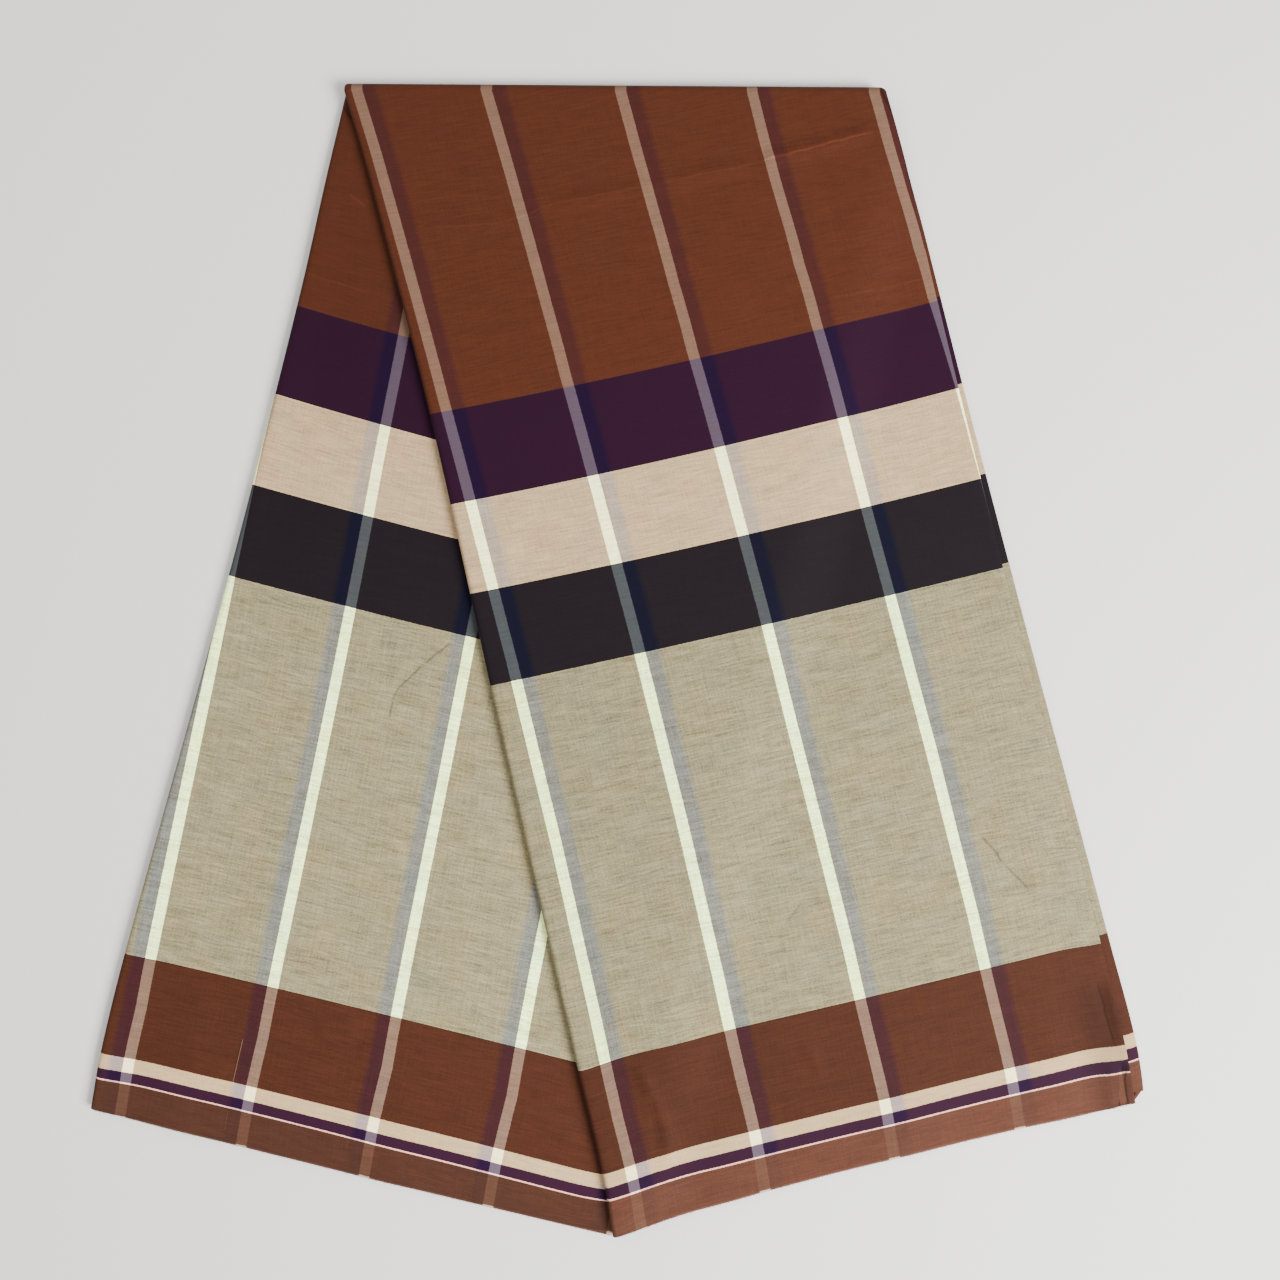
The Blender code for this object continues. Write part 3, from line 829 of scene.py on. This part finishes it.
class Value:
    """A number that a shader node gives, with Python's arithmetic."""

    def __init__(self, graph, socket):
        self.graph, self.socket = graph, socket

    def __add__(self, other):
        return self.graph.math("ADD", self, other)

    def __sub__(self, other):
        return self.graph.math("SUBTRACT", self, other)

    def __rsub__(self, other):
        return self.graph.math("SUBTRACT", other, self)

    def __mul__(self, other):
        return self.graph.math("MULTIPLY", self, other)

    def __truediv__(self, other):
        return self.graph.math("DIVIDE", self, other)

    __radd__ = __add__
    __rmul__ = __mul__


class Graph:
    """The nodes of one material."""

    def __init__(self, name):
        self.material = bpy.data.materials.new(name)
        self.material.use_nodes = True
        self.tree = self.material.node_tree
        self.tree.nodes.clear()

    def node(self, kind, settings, inputs):
        """A node of this type, with its settings and then its sockets' values or links."""
        node = self.tree.nodes.new(kind)
        for name, value in settings.items():
            setattr(node, name, value)
        for name, value in inputs.items():
            if isinstance(value, Value):
                value = value.socket
            if isinstance(value, bpy.types.NodeSocket):
                self.tree.links.new(value, node.inputs[name])
            else:
                node.inputs[name].default_value = value
        return node

    def math(self, operation, a, b=0.0):
        made = self.node("ShaderNodeMath", {"operation": operation}, {0: a, 1: b})
        return Value(self, made.outputs[0])

    def rise(self, value, start, end):
        """0 up to start, 1 from end on."""
        made = self.node("ShaderNodeMapRange", {}, {0: value, 1: start, 2: end})
        return Value(self, made.outputs[0])

    def near(self, value, place, reach):
        """1 within reach of a place, 0 outside."""
        inputs = {0: value, 1: place, 2: reach}
        made = self.node("ShaderNodeMath", {"operation": "COMPARE"}, inputs)
        return Value(self, made.outputs[0])

    def mix(self, factor, a, b, blend="MIX"):
        """One colour from two."""
        settings = {"data_type": "RGBA", "blend_type": blend}
        a, b = ((*c, 1.0) if isinstance(c, tuple) else c for c in (a, b))
        return self.node("ShaderNodeMix", settings, {0: factor, 6: a, 7: b}).outputs[2]

    def noise(self, vector, scale, detail=2.0, roughness=0.5):
        inputs = {"Vector": vector, "Scale": scale, "Detail": detail, "Roughness": roughness}
        return Value(self, self.node("ShaderNodeTexNoise", {}, inputs).outputs[0])

    def combine(self, x, y, z=0.0):
        return self.node("ShaderNodeCombineXYZ", {}, {0: x, 1: y, 2: z}).outputs[0]

    def finish(self, shader):
        self.node("ShaderNodeOutputMaterial", {}, {"Surface": shader})
        return self.material


def straight_lines(creases):
    """The creases' sharp lines as straight pieces: start, end and painted highlight, below 0
    painted shade.
    """
    lines = []
    for crease in creases:
        if not crease.line:
            continue
        start, middle, end = (Vector(p) for p in (crease.start, crease.middle, crease.end))
        bend = abs((middle - start).cross((end - start).normalized()))
        stops = [start, end] if bend < STRAIGHT else [start, middle, end]
        lines += [(a, b, crease.line) for a, b in zip(stops, stops[1:])]
    return lines


def crease_painted_light(g, creases):
    """Painted highlight along the creases' sharp lines, below 0 painted shade, as a share of the
    colour.
    """
    where = g.node("ShaderNodeTexCoord", {}, {}).outputs["Object"]
    unsteady = (g.noise(where, LINE_WANDER[0], 0.0) - 0.5) * LINE_WANDER[1]
    painted_line_light = 0.0
    for start, end, line in straight_lines(creases):
        run = end - start
        inputs = {
            "Vector": where,
            "Location": start.to_3d() + PLACE,
            "Rotation": (0.0, 0.0, math.atan2(run.y, run.x)),
            "Scale": (run.length, LINE_WIDTH, 1.0),
        }
        placed = g.node("ShaderNodeMapping", {"vector_type": "TEXTURE"}, inputs).outputs[0]
        split = g.node("ShaderNodeSeparateXYZ", {}, {0: placed})
        part, off = Value(g, split.outputs[0]), Value(g, split.outputs[1])
        body = g.rise(part, 0.0, CREASE_FADE) - g.rise(part, 1.0 - CREASE_FADE, 1.0)
        beside = g.rise(g.math("ABSOLUTE", off + unsteady), 0.0, 1.0)
        painted_line_light = body * (1.0 - beside) * line + painted_line_light
    return painted_line_light


def cloth_material(name, settings, painted_light=FRONT_PAINTED_LIGHT, creases=()):
    """Plain weave cotton with bands one way and white and blue stripes the other."""
    g = Graph(name)
    uv = g.node("ShaderNodeUVMap", {"uv_map": "Cloth"}, {}).outputs[0]
    split = g.node("ShaderNodeSeparateXYZ", {}, {0: uv})
    along_cloth, over_cloth = Value(g, split.outputs[0]), Value(g, split.outputs[1])

    # Slubs: thicker threads that run along the bands, not quite straight, and fainter ones
    # across them.
    def threads(over, scale, detail, roughness=0.5):
        stretched = g.combine(along_cloth * scale[0], over * scale[1])
        return g.noise(stretched, 1.0, detail, roughness) - 0.5

    thread = over_cloth + (g.noise(uv, THREAD_BEND[0], 0.0) - 0.5) * THREAD_BEND[1]
    slub = threads(thread, SLUB_SCALE, 2.0, 0.65)
    soft_slub = threads(thread, SOFT_SLUB_SCALE, 1.0)
    cross_slub = threads(over_cloth, CROSS_SLUB_SCALE, 1.0)
    speck = g.noise(uv, SPECK_SCALE, 0.0)

    # Edges of the colours waver by a thread or so.
    waver = (g.noise(uv, WAVER[0], 1.0) - 0.5) * WAVER[1]
    across = g.math("ABSOLUTE", over_cloth - MIDDLE) + MIDDLE + waver
    pick = g.math("FLOORED_MODULO", along_cloth + waver, STRIPE_REPEAT)
    blue_end = WHITE_WIDTH + BLUE_WIDTH
    past_white = g.rise(pick, WHITE_WIDTH - EDGE_WIDTH, WHITE_WIDTH)
    past_blue = g.rise(pick + slub * RAGGED, blue_end - RAGGED_WIDTH, blue_end + RAGGED_WIDTH)
    white = (g.rise(pick, 0.0, EDGE_WIDTH) - past_white) * (WHITE_CLEAR - speck * WHITE_SPECK)
    blue = (past_white - past_blue) * (1.0 + slub * BLUE_SLUB)

    def woven(band):
        plain = getattr(settings, band.name)
        colour = g.mix(blue, tuple(plain), band.blue)
        return g.mix(white, colour, band.white)

    colour, varied = woven(BANDS[0]), BANDS[0].slub
    rims = 1.0
    for before, band in zip(BANDS, BANDS[1:]):
        on = g.rise(across, band.start - EDGE_WIDTH / 2, band.start + EDGE_WIDTH / 2)
        colour = g.mix(on, colour, woven(band))
        varied = varied + on * (band.slub - before.slub)
        if band.rim:
            dark = g.near(across, band.start - band.rim * RIM_WIDTH, RIM_WIDTH)
            pale = g.near(across, band.start + band.rim * RIM_WIDTH, RIM_WIDTH)
            rims = rims + pale * PALE_RIM - dark * DARK_RIM

    varied = varied * settings.slub
    streaks = slub + soft_slub * SOFT_SLUB_SHARE + cross_slub * CROSS_SLUB_SHARE
    streaks = (streaks + (speck - 0.5) * SPECK_SHARE) * varied
    on_selvedge = g.rise(across, *SELVEDGE_SHADE_START)
    # Painted light and shade: lighter or darker over the middle, outer part and selvedge, painted
    # light on the white over the selvedge, and painted shade in the lower right-hand corner.
    painted_shading = (
        painted_light.middle
        + g.rise(across, 0.0, OUTER_REACH) * (painted_light.outer - painted_light.middle)
        + on_selvedge * (painted_light.selvedge - painted_light.outer)
        + on_selvedge * white * painted_light.white_there
        - g.rise(along_cloth, *CORNER_SHADE_ALONG) * g.rise(across, *CORNER_SHADE_ACROSS) * painted_light.corner
    )
    # weight is the slubs' own streaks and the band rims, times the painted light and shade.
    weight = (1.0 + streaks) * rims * painted_shading
    # Painted highlight and painted shade along the creases' sharp lines.
    if creases:
        weight = weight * (1.0 + crease_painted_light(g, creases))
    warm = (g.noise(uv, WARM_SCALE, 1.0) - 0.5) * varied * WARM_SHARE
    light = g.combine(weight * (1.0 + warm), weight, weight * (1.0 - warm))
    colour = g.mix(1.0, colour, light, "MULTIPLY")

    # The weave itself: threads over and under at the cloth's own count.
    turn = 2 * math.pi / settings.thread_spacing
    weave = g.math("SINE", along_cloth * turn) * g.math("SINE", over_cloth * turn)
    height = weave * WEAVE_RELIEF + slub * SLUB_RELIEF
    relief = {"Strength": 0.35, "Distance": RELIEF_DEPTH, "Height": height}
    normal = g.node("ShaderNodeBump", {}, relief).outputs[0]
    shader = g.node(
        "ShaderNodeBsdfPrincipled",
        {},
        {
            "Base Color": colour,
            "Roughness": ROUGHNESS + slub * SLUB_ROUGHNESS,
            "Normal": normal,
            "Specular IOR Level": 0.07,
            "Sheen Weight": settings.sheen,
            "Sheen Roughness": 0.45,
        },
    )
    return g.finish(shader.outputs[0])


def stage_material(name, colour):
    """A plain floor with a faint grain."""
    g = Graph(name)
    where = g.node("ShaderNodeTexCoord", {}, {}).outputs["Object"]
    grain = g.noise(where, GRAIN_SCALE, 3.0)
    base = g.mix(grain * GRAIN_SHARE, tuple(colour), GRAIN_COLOUR)
    inputs = {"Base Color": base, "Roughness": 0.8, "Specular IOR Level": 0.2}
    return g.finish(g.node("ShaderNodeBsdfPrincipled", {}, inputs).outputs[0])


def dress(piece, slot, *nodes):
    """Lets a piece stand for its solids, on the one body that the part has."""
    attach(piece, "root")
    if nodes:
        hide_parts(*nodes)


def cloth_colour(name, description):
    """A colour of the cloth, with the chart's own as its default."""
    plain = next(band.plain for band in BANDS if band.name == name)
    return bpy.props.FloatVectorProperty(
        name=name.replace("_", " ").capitalize(), description=description, default=plain,
        subtype="COLOR", size=3, min=0.0, max=1.0,
    )


class LungiClothSettings(bpy.types.PropertyGroup):
    """What a user may change about the cloth."""

    thickness: bpy.props.FloatProperty(
        name="Thickness", description="How thick one layer of cloth is made", default=0.00042,
        min=0.0002, max=0.0005, precision=5, subtype="DISTANCE", unit="LENGTH",
    )
    thread_spacing: bpy.props.FloatProperty(
        name="Thread spacing", description="Length of one repeat of the plain weave",
        default=0.0009, min=0.0004, max=0.002, precision=5, subtype="DISTANCE", unit="LENGTH",
    )
    slub: bpy.props.FloatProperty(
        name="Slub", description="How much the threads vary in colour", default=1.15,
        min=0.0, max=2.0, subtype="FACTOR",
    )
    sheen: bpy.props.FloatProperty(
        name="Sheen", description="Soft glow of the fibres at a glancing angle", default=0.03,
        min=0.0, max=1.0, subtype="FACTOR",
    )
    rust: cloth_colour("rust", "Wide middle of the cloth")
    purple: cloth_colour("purple", "First band out from the middle")
    pink: cloth_colour("pink", "Band beside the purple")
    black: cloth_colour("black", "Band beside the pink")
    beige: cloth_colour("beige", "Widest band")
    lower_rust: cloth_colour("lower_rust", "Band beside the border")
    cream: cloth_colour("cream", "Border's light line")
    border_purple: cloth_colour("border_purple", "Border's dark line")
    line: cloth_colour("line", "Thin light line beside the selvedge")
    selvedge: cloth_colour("selvedge", "Selvedge")
    weft_loops: cloth_colour("weft_loops", "Loops of thread along the selvedge")


class LungiStageSettings(bpy.types.PropertyGroup):
    """What a user may change about the stage."""

    floor: bpy.props.FloatVectorProperty(
        name="Floor", description="Colour of the floor", default=(0.62, 0.61, 0.59),
        subtype="COLOR", size=3, min=0.0, max=1.0,
    )
    camera_height: bpy.props.FloatProperty(
        name="Camera height", description="How far above the cloth the camera is", default=0.75,
        min=0.3, max=3.0, subtype="DISTANCE", unit="LENGTH",
    )
    key_power: bpy.props.FloatProperty(
        name="Key light", description="Power of the main light", default=84.0,
        min=0.0, max=500.0, unit="POWER",
    )
    fill_power: bpy.props.FloatProperty(
        name="Fill light", description="Power of the soft light opposite", default=17.0,
        min=0.0, max=500.0, unit="POWER",
    )
    sky: bpy.props.FloatProperty(
        name="Sky", description="Strength of the light from all round", default=0.90,
        min=0.0, max=3.0,
    )


class LUNGI_OT_front_cloth(bpy.types.Operator):
    """Makes the front half's outer cloth, which goes on over the top fold"""

    bl_idname = "lungi.front_cloth"
    bl_label = "Front cloth"

    def execute(self, context):
        settings = context.scene.lungi_cloth
        tail = [BackStation(share_of(SEAM_AT) * k / 2) for k in (1, 2)]
        stations = [*reversed(front_stations()), *roll_stations()[1:], *tail]
        grid = sheet_grid(
            stations,
            lambda station: wrap_line(station, SHOWN_COLUMNS, HIDDEN_COLUMNS),
            front_cloth_places,
            [(FRONT_CREASES, far_side), (HIDDEN_CREASES, near_side)],
        )
        material = cloth_material("front cloth", settings, FRONT_PAINTED_LIGHT, FRONT_CREASES)
        piece = add_sheet("front_cloth", [grid], settings.thickness, material, (20, 40))
        dress(piece, "front_cloth", "front_panel")
        return {"FINISHED"}


class LUNGI_OT_back_cloth(bpy.types.Operator):
    """Makes the back half's outer cloth"""

    bl_idname = "lungi.back_cloth"
    bl_label = "Back cloth"

    def execute(self, context):
        settings = context.scene.lungi_cloth
        grid = sheet_grid(
            back_stations(share_of(SEAM_AT + GAP)),
            lambda station: wrap_line(station, HIDDEN_COLUMNS, SHOWN_COLUMNS),
            back_cloth_places,
            [(BACK_CREASES, near_side), (HIDDEN_CREASES, far_side)],
        )
        material = cloth_material("back cloth", settings, BACK_PAINTED_LIGHT, BACK_CREASES)
        shown = 2 + LIP_STEPS + 1 + HIDDEN_COLUMNS + ARC_COLUMNS + SHOWN_COLUMNS // 2
        piece = add_sheet("back_cloth", [grid], settings.thickness, material, (20, shown))
        dress(piece, "back_cloth", "back_panel")
        return {"FINISHED"}


def leaf_grids(station_of, places_of, end_of):
    """Nested leaves that show at a selvedge, outer ones first."""
    grids = []
    for k, short in enumerate(LEAF_ENDS, 1):

        def line_of(station):
            return leaf_line(station, LEAF_PITCH * k, end_of(station, k))

        shares = spaced(1 - LEAF_DEPTH, 1 - share_of(short), LEAF_ROWS)
        grids.append(sheet_grid([station_of(share) for share in shares], line_of, places_of))
    return grids


def edge_grids(stations, places_of):
    """Leaves that show at the back half's right edge, one above the other."""
    grids = []
    for k, inset in enumerate(EDGE_INSETS):
        part = (k + 0.5) / len(EDGE_INSETS)

        def line_of(station):
            q = spaced(station.width - inset, station.width - EDGE_DEPTH, EDGE_COLUMNS)
            full = station.thickness(q) - 2 * LEAF_PITCH
            return Line(q, LEAF_PITCH + full * part + LEAF_THICKNESS / 2, q)

        grids.append(sheet_grid(stations, line_of, places_of))
    return grids


class LUNGI_OT_leaves(bpy.types.Operator):
    """Makes the leaves of cloth that show between the outer layers at the edges"""

    bl_idname = "lungi.leaves"
    bl_label = "Inner leaves"

    def execute(self, context):
        settings = context.scene.lungi_cloth

        def front_end(station, k):
            if k == 1:
                return station.width - LEAF_SHORT
            return station.width * (1 - UNDER_FOLD_IN) - GAP

        def back_end(station, k):
            return station.width - EDGE_INSETS[k]

        jobs = [
            ("front_leaves", "front_layer_cloth", "front_layers",
             leaf_grids(FrontStation, front_cloth_places, front_end)),
            ("back_leaves", "back_layer_cloth", "back_layers",
             leaf_grids(BackStation, back_cloth_places, back_end)),
        ]
        for name, slot, node, grids in jobs:
            material = cloth_material(name.replace("_", " "), settings, LEAF_PAINTED_LIGHT)
            piece = add_sheet(name, grids, LEAF_THICKNESS, material, (2, 20))
            dress(piece, slot, node)
            declare_cut(grids)
        stations = [*roll_stations(), *back_stations(share_of(GAP), EDGE_ROWS)]
        grids = edge_grids(stations, edge_places)
        material = cloth_material("edge leaves", settings, LEAF_PAINTED_LIGHT)
        piece = add_sheet("edge_leaves", grids, LEAF_THICKNESS, material, (2, 1))
        dress(piece, "back_layer_cloth", "back_layers")
        declare_cut(grids)
        return {"FINISHED"}


def edge_places(station, line):
    """Where the points of the leaves at the back half's right edge are on the flat cloth."""
    if isinstance(station, RollStation):
        place = band_place(FRONT_CHART, 0.0, line.q / station.width)
    else:
        place = 2 * MIDDLE - band_place(BACK_CHART, station.share, line.q / station.width)
    return np.stack((UNDER_FOLD_PICK + line.q - station.width, place), axis=-1)


def declare_cut(grids):
    """Works out the lengths along the grids' sides, and does nothing with them."""
    for points, _ in grids:
        side = np.linalg.norm(np.diff(points, axis=1), axis=-1)
        down = np.linalg.norm(np.diff(points, axis=0), axis=-1)


class LUNGI_OT_under_fold(bpy.types.Operator):
    """Makes the folded layer that peeps out along the front half's right edge"""

    bl_idname = "lungi.under_fold"
    bl_label = "Under fold"

    def execute(self, context):
        settings = context.scene.lungi_cloth
        last = 1 - share_of(UNDER_FOLD_SHORT)
        stations = [FrontStation(share) for share in spaced(share_of(GAP), last, FRONT_ROWS // 2)]
        grids = []
        for inset in (0.0, LEAF_PITCH):

            def line_of(station):
                return under_fold_line(station, inset)

            grids.append(sheet_grid(stations, line_of, under_fold_places))
        material = cloth_material("fold cloth", settings, FOLD_PAINTED_LIGHT)
        piece = add_sheet("under_fold_cloth", grids, LEAF_THICKNESS, material, (20, 4))
        dress(piece, "fold_cloth", "under_fold")
        declare_cut(grids)
        return {"FINISHED"}


class LUNGI_OT_selvedge_loops(bpy.types.Operator):
    """Makes the small loops of thread along both selvedges"""

    bl_idname = "lungi.selvedge_loops"
    bl_label = "Selvedge loops"

    def execute(self, context):
        settings = context.scene.lungi_cloth
        chance = random.Random(5)
        jobs = [
            ("front_selvedge_loops", "front_cloth", FrontStation, front_cloth_places, True),
            ("back_selvedge_loops", "back_cloth", BackStation, back_cloth_places, False),
        ]
        for name, slot, station_of, places_of, on_far_side in jobs:
            end, inner = station_of(1.0), station_of(LOOP_INNER)
            grids = []
            q = end.fold + LOOP_MARGIN
            while q < end.width - LOOP_MARGIN:
                line = selvedge_line(end, q, settings.thickness / 2, on_far_side)
                at, before = (s.points(line.q, line.height)[0] for s in (end, inner))
                out = (at - before) * (1.0, 1.0, 0.0)
                place = (places_of(end, line)[0][0], LOOP_PLACE)
                radius = chance.uniform(*RADIUS_RANGE) * LOOP_RADIUS
                grids.append(loop_grid(at, out / np.linalg.norm(out), radius, place))
                q += LOOP_SPACING * chance.uniform(*SPACING_RANGE)
            mesh_in = bmesh.new()
            add_grids(mesh_in, grids)
            bmesh.ops.remove_doubles(mesh_in, verts=mesh_in.verts, dist=YARN_RADIUS / 20)
            bmesh.ops.recalc_face_normals(mesh_in, faces=mesh_in.faces)
            material = cloth_material(name.replace("_", " "), settings)
            dress(add_object(name, mesh_in, material), slot)
        return {"FINISHED"}


def selvedge_line(station, q, half_thickness, on_far_side):
    """One point in the middle of the outer cloth, as a line."""
    fold = station.fold
    if on_far_side:
        height, girth = float(station.thickness(q)) - half_thickness, q - fold
    else:
        height, girth = half_thickness, -math.pi * fold - (q - fold)
    return Line(*(np.array([value]) for value in (q, height, girth)))


def loop_grid(at, out, radius, place):
    """A half ring of thread that stands out from the edge at a point, with its place."""
    side, up = np.array((-out[1], out[0], 0.0)), np.array((0.0, 0.0, 1.0))
    round_yarn = spaced(0.0, 2 * math.pi, LOOP_SIDES)[:, None]
    points = []
    for angle in spaced(0.0, math.pi, LOOP_SIDES):
        arm = side * math.cos(angle) + out * math.sin(angle)
        ring = arm * (radius - YARN_RADIUS * np.sin(round_yarn))
        points.append(at + ring + up * YARN_RADIUS * np.cos(round_yarn))
    points = np.array(points)
    return points, np.broadcast_to(place, (*points.shape[:2], 2))


class LUNGI_OT_stray_pick(bpy.types.Operator):
    """Makes the white thread that strayed out of its stripe on the back half"""

    bl_idname = "lungi.stray_pick"
    bl_label = "Stray pick"

    def execute(self, context):
        settings = context.scene.lungi_cloth
        round_thread = spaced(0.0, 2 * math.pi, STRAY_SIDES)

        def line_of(station):
            q = stripe_place(BACK_STRIPES, station.share)[1] - STRAY_OFFSET
            around = q + STRAY_RADIUS * np.cos(round_thread)
            height = -STRAY_RADIUS * (0.5 + np.sin(round_thread))
            return Line(around, height, np.full_like(around, q))

        def places_of(station, line):
            place = back_cloth_places(station, line)[:, 1]
            return np.stack((np.full_like(place, WHITE_WIDTH / 2), place), axis=-1)

        grids = []
        for start, end in STRAY_PICK:
            stations = [BackStation(share) for share in spaced(start, end, STRAY_ROWS)]
            grids.append(sheet_grid(stations, line_of, places_of))
        mesh_in = bmesh.new()
        add_grids(mesh_in, grids)
        bmesh.ops.remove_doubles(mesh_in, verts=mesh_in.verts, dist=STRAY_RADIUS / 20)
        bmesh.ops.holes_fill(mesh_in, edges=mesh_in.edges)
        bmesh.ops.recalc_face_normals(mesh_in, faces=mesh_in.faces)
        piece = add_object("stray_pick", mesh_in, cloth_material("stray pick", settings))
        dress(piece, "back_cloth")
        return {"FINISHED"}


class LUNGI_OT_stage(bpy.types.Operator):
    """Makes the floor, the soft lights and the camera straight above"""

    bl_idname = "lungi.stage"
    bl_label = "Stage"

    def execute(self, context):
        settings = context.scene.lungi_stage
        mesh_in = bmesh.new()
        bmesh.ops.create_grid(mesh_in, x_segments=1, y_segments=1, size=FLOOR_SIZE)
        bmesh.ops.translate(mesh_in, verts=mesh_in.verts, vec=(0.0, 0.0, FLOOR_LEVEL))
        add_object("floor", mesh_in, stage_material("floor", settings.floor))

        target = Vector((VIEW_CENTRE[0] + PLACE.x, VIEW_CENTRE[1] + PLACE.y, VIEW_LEVEL))
        for lamp in LAMPS:
            area = bpy.data.lights.new(lamp.name, "AREA")
            area.size, area.energy = lamp.size, getattr(settings, lamp.power)
            light = bpy.data.objects.new(lamp.name, area)
            light.location = target + Vector(lamp.offset)
            light.rotation_euler = Vector(lamp.offset).to_track_quat("Z", "Y").to_euler()
            context.scene.collection.objects.link(light)

        world = bpy.data.worlds.new("studio")
        world.use_nodes = True
        sky = world.node_tree.nodes["Background"]
        sky.inputs[0].default_value = SKY_COLOUR
        sky.inputs[1].default_value = settings.sky
        context.scene.world = world

        lens = bpy.data.cameras.new("camera")
        lens.lens = lens.sensor_width * settings.camera_height / VIEW_WIDTH
        camera = bpy.data.objects.new("camera", lens)
        camera.location = target + Vector((0.0, 0.0, settings.camera_height))
        context.scene.collection.objects.link(camera)
        context.scene.camera = camera
        return {"FINISHED"}


OPERATORS = [
    LUNGI_OT_front_cloth,
    LUNGI_OT_back_cloth,
    LUNGI_OT_leaves,
    LUNGI_OT_under_fold,
    LUNGI_OT_selvedge_loops,
    LUNGI_OT_stray_pick,
    LUNGI_OT_stage,
]


class LUNGI_PT_panel(bpy.types.Panel):
    """Lists the lungi's pieces and settings"""

    bl_idname = "LUNGI_PT_panel"
    bl_label = "Lungi"
    bl_space_type = "VIEW_3D"
    bl_region_type = "UI"
    bl_category = "Lungi"

    def draw(self, context):
        for operator in OPERATORS:
            self.layout.operator(operator.bl_idname)
        for settings in (context.scene.lungi_cloth, context.scene.lungi_stage):
            box = self.layout.box()
            for name in settings.__annotations__:
                box.prop(settings, name)


CLASSES = [LungiClothSettings, LungiStageSettings, *OPERATORS, LUNGI_PT_panel]


def register():
    for cls in CLASSES:
        bpy.utils.register_class(cls)
    bpy.types.Scene.lungi_cloth = bpy.props.PointerProperty(type=LungiClothSettings)
    bpy.types.Scene.lungi_stage = bpy.props.PointerProperty(type=LungiStageSettings)


def unregister():
    del bpy.types.Scene.lungi_stage
    del bpy.types.Scene.lungi_cloth
    for cls in reversed(CLASSES):
        bpy.utils.unregister_class(cls)


def main():
    """Makes every piece and the stage."""
    register()
    bpy.ops.lungi.front_cloth()
    bpy.ops.lungi.back_cloth()
    bpy.ops.lungi.leaves()
    bpy.ops.lungi.under_fold()
    bpy.ops.lungi.selvedge_loops()
    bpy.ops.lungi.stray_pick()
    bpy.ops.lungi.stage()


if __name__ == "__main__":
    main()
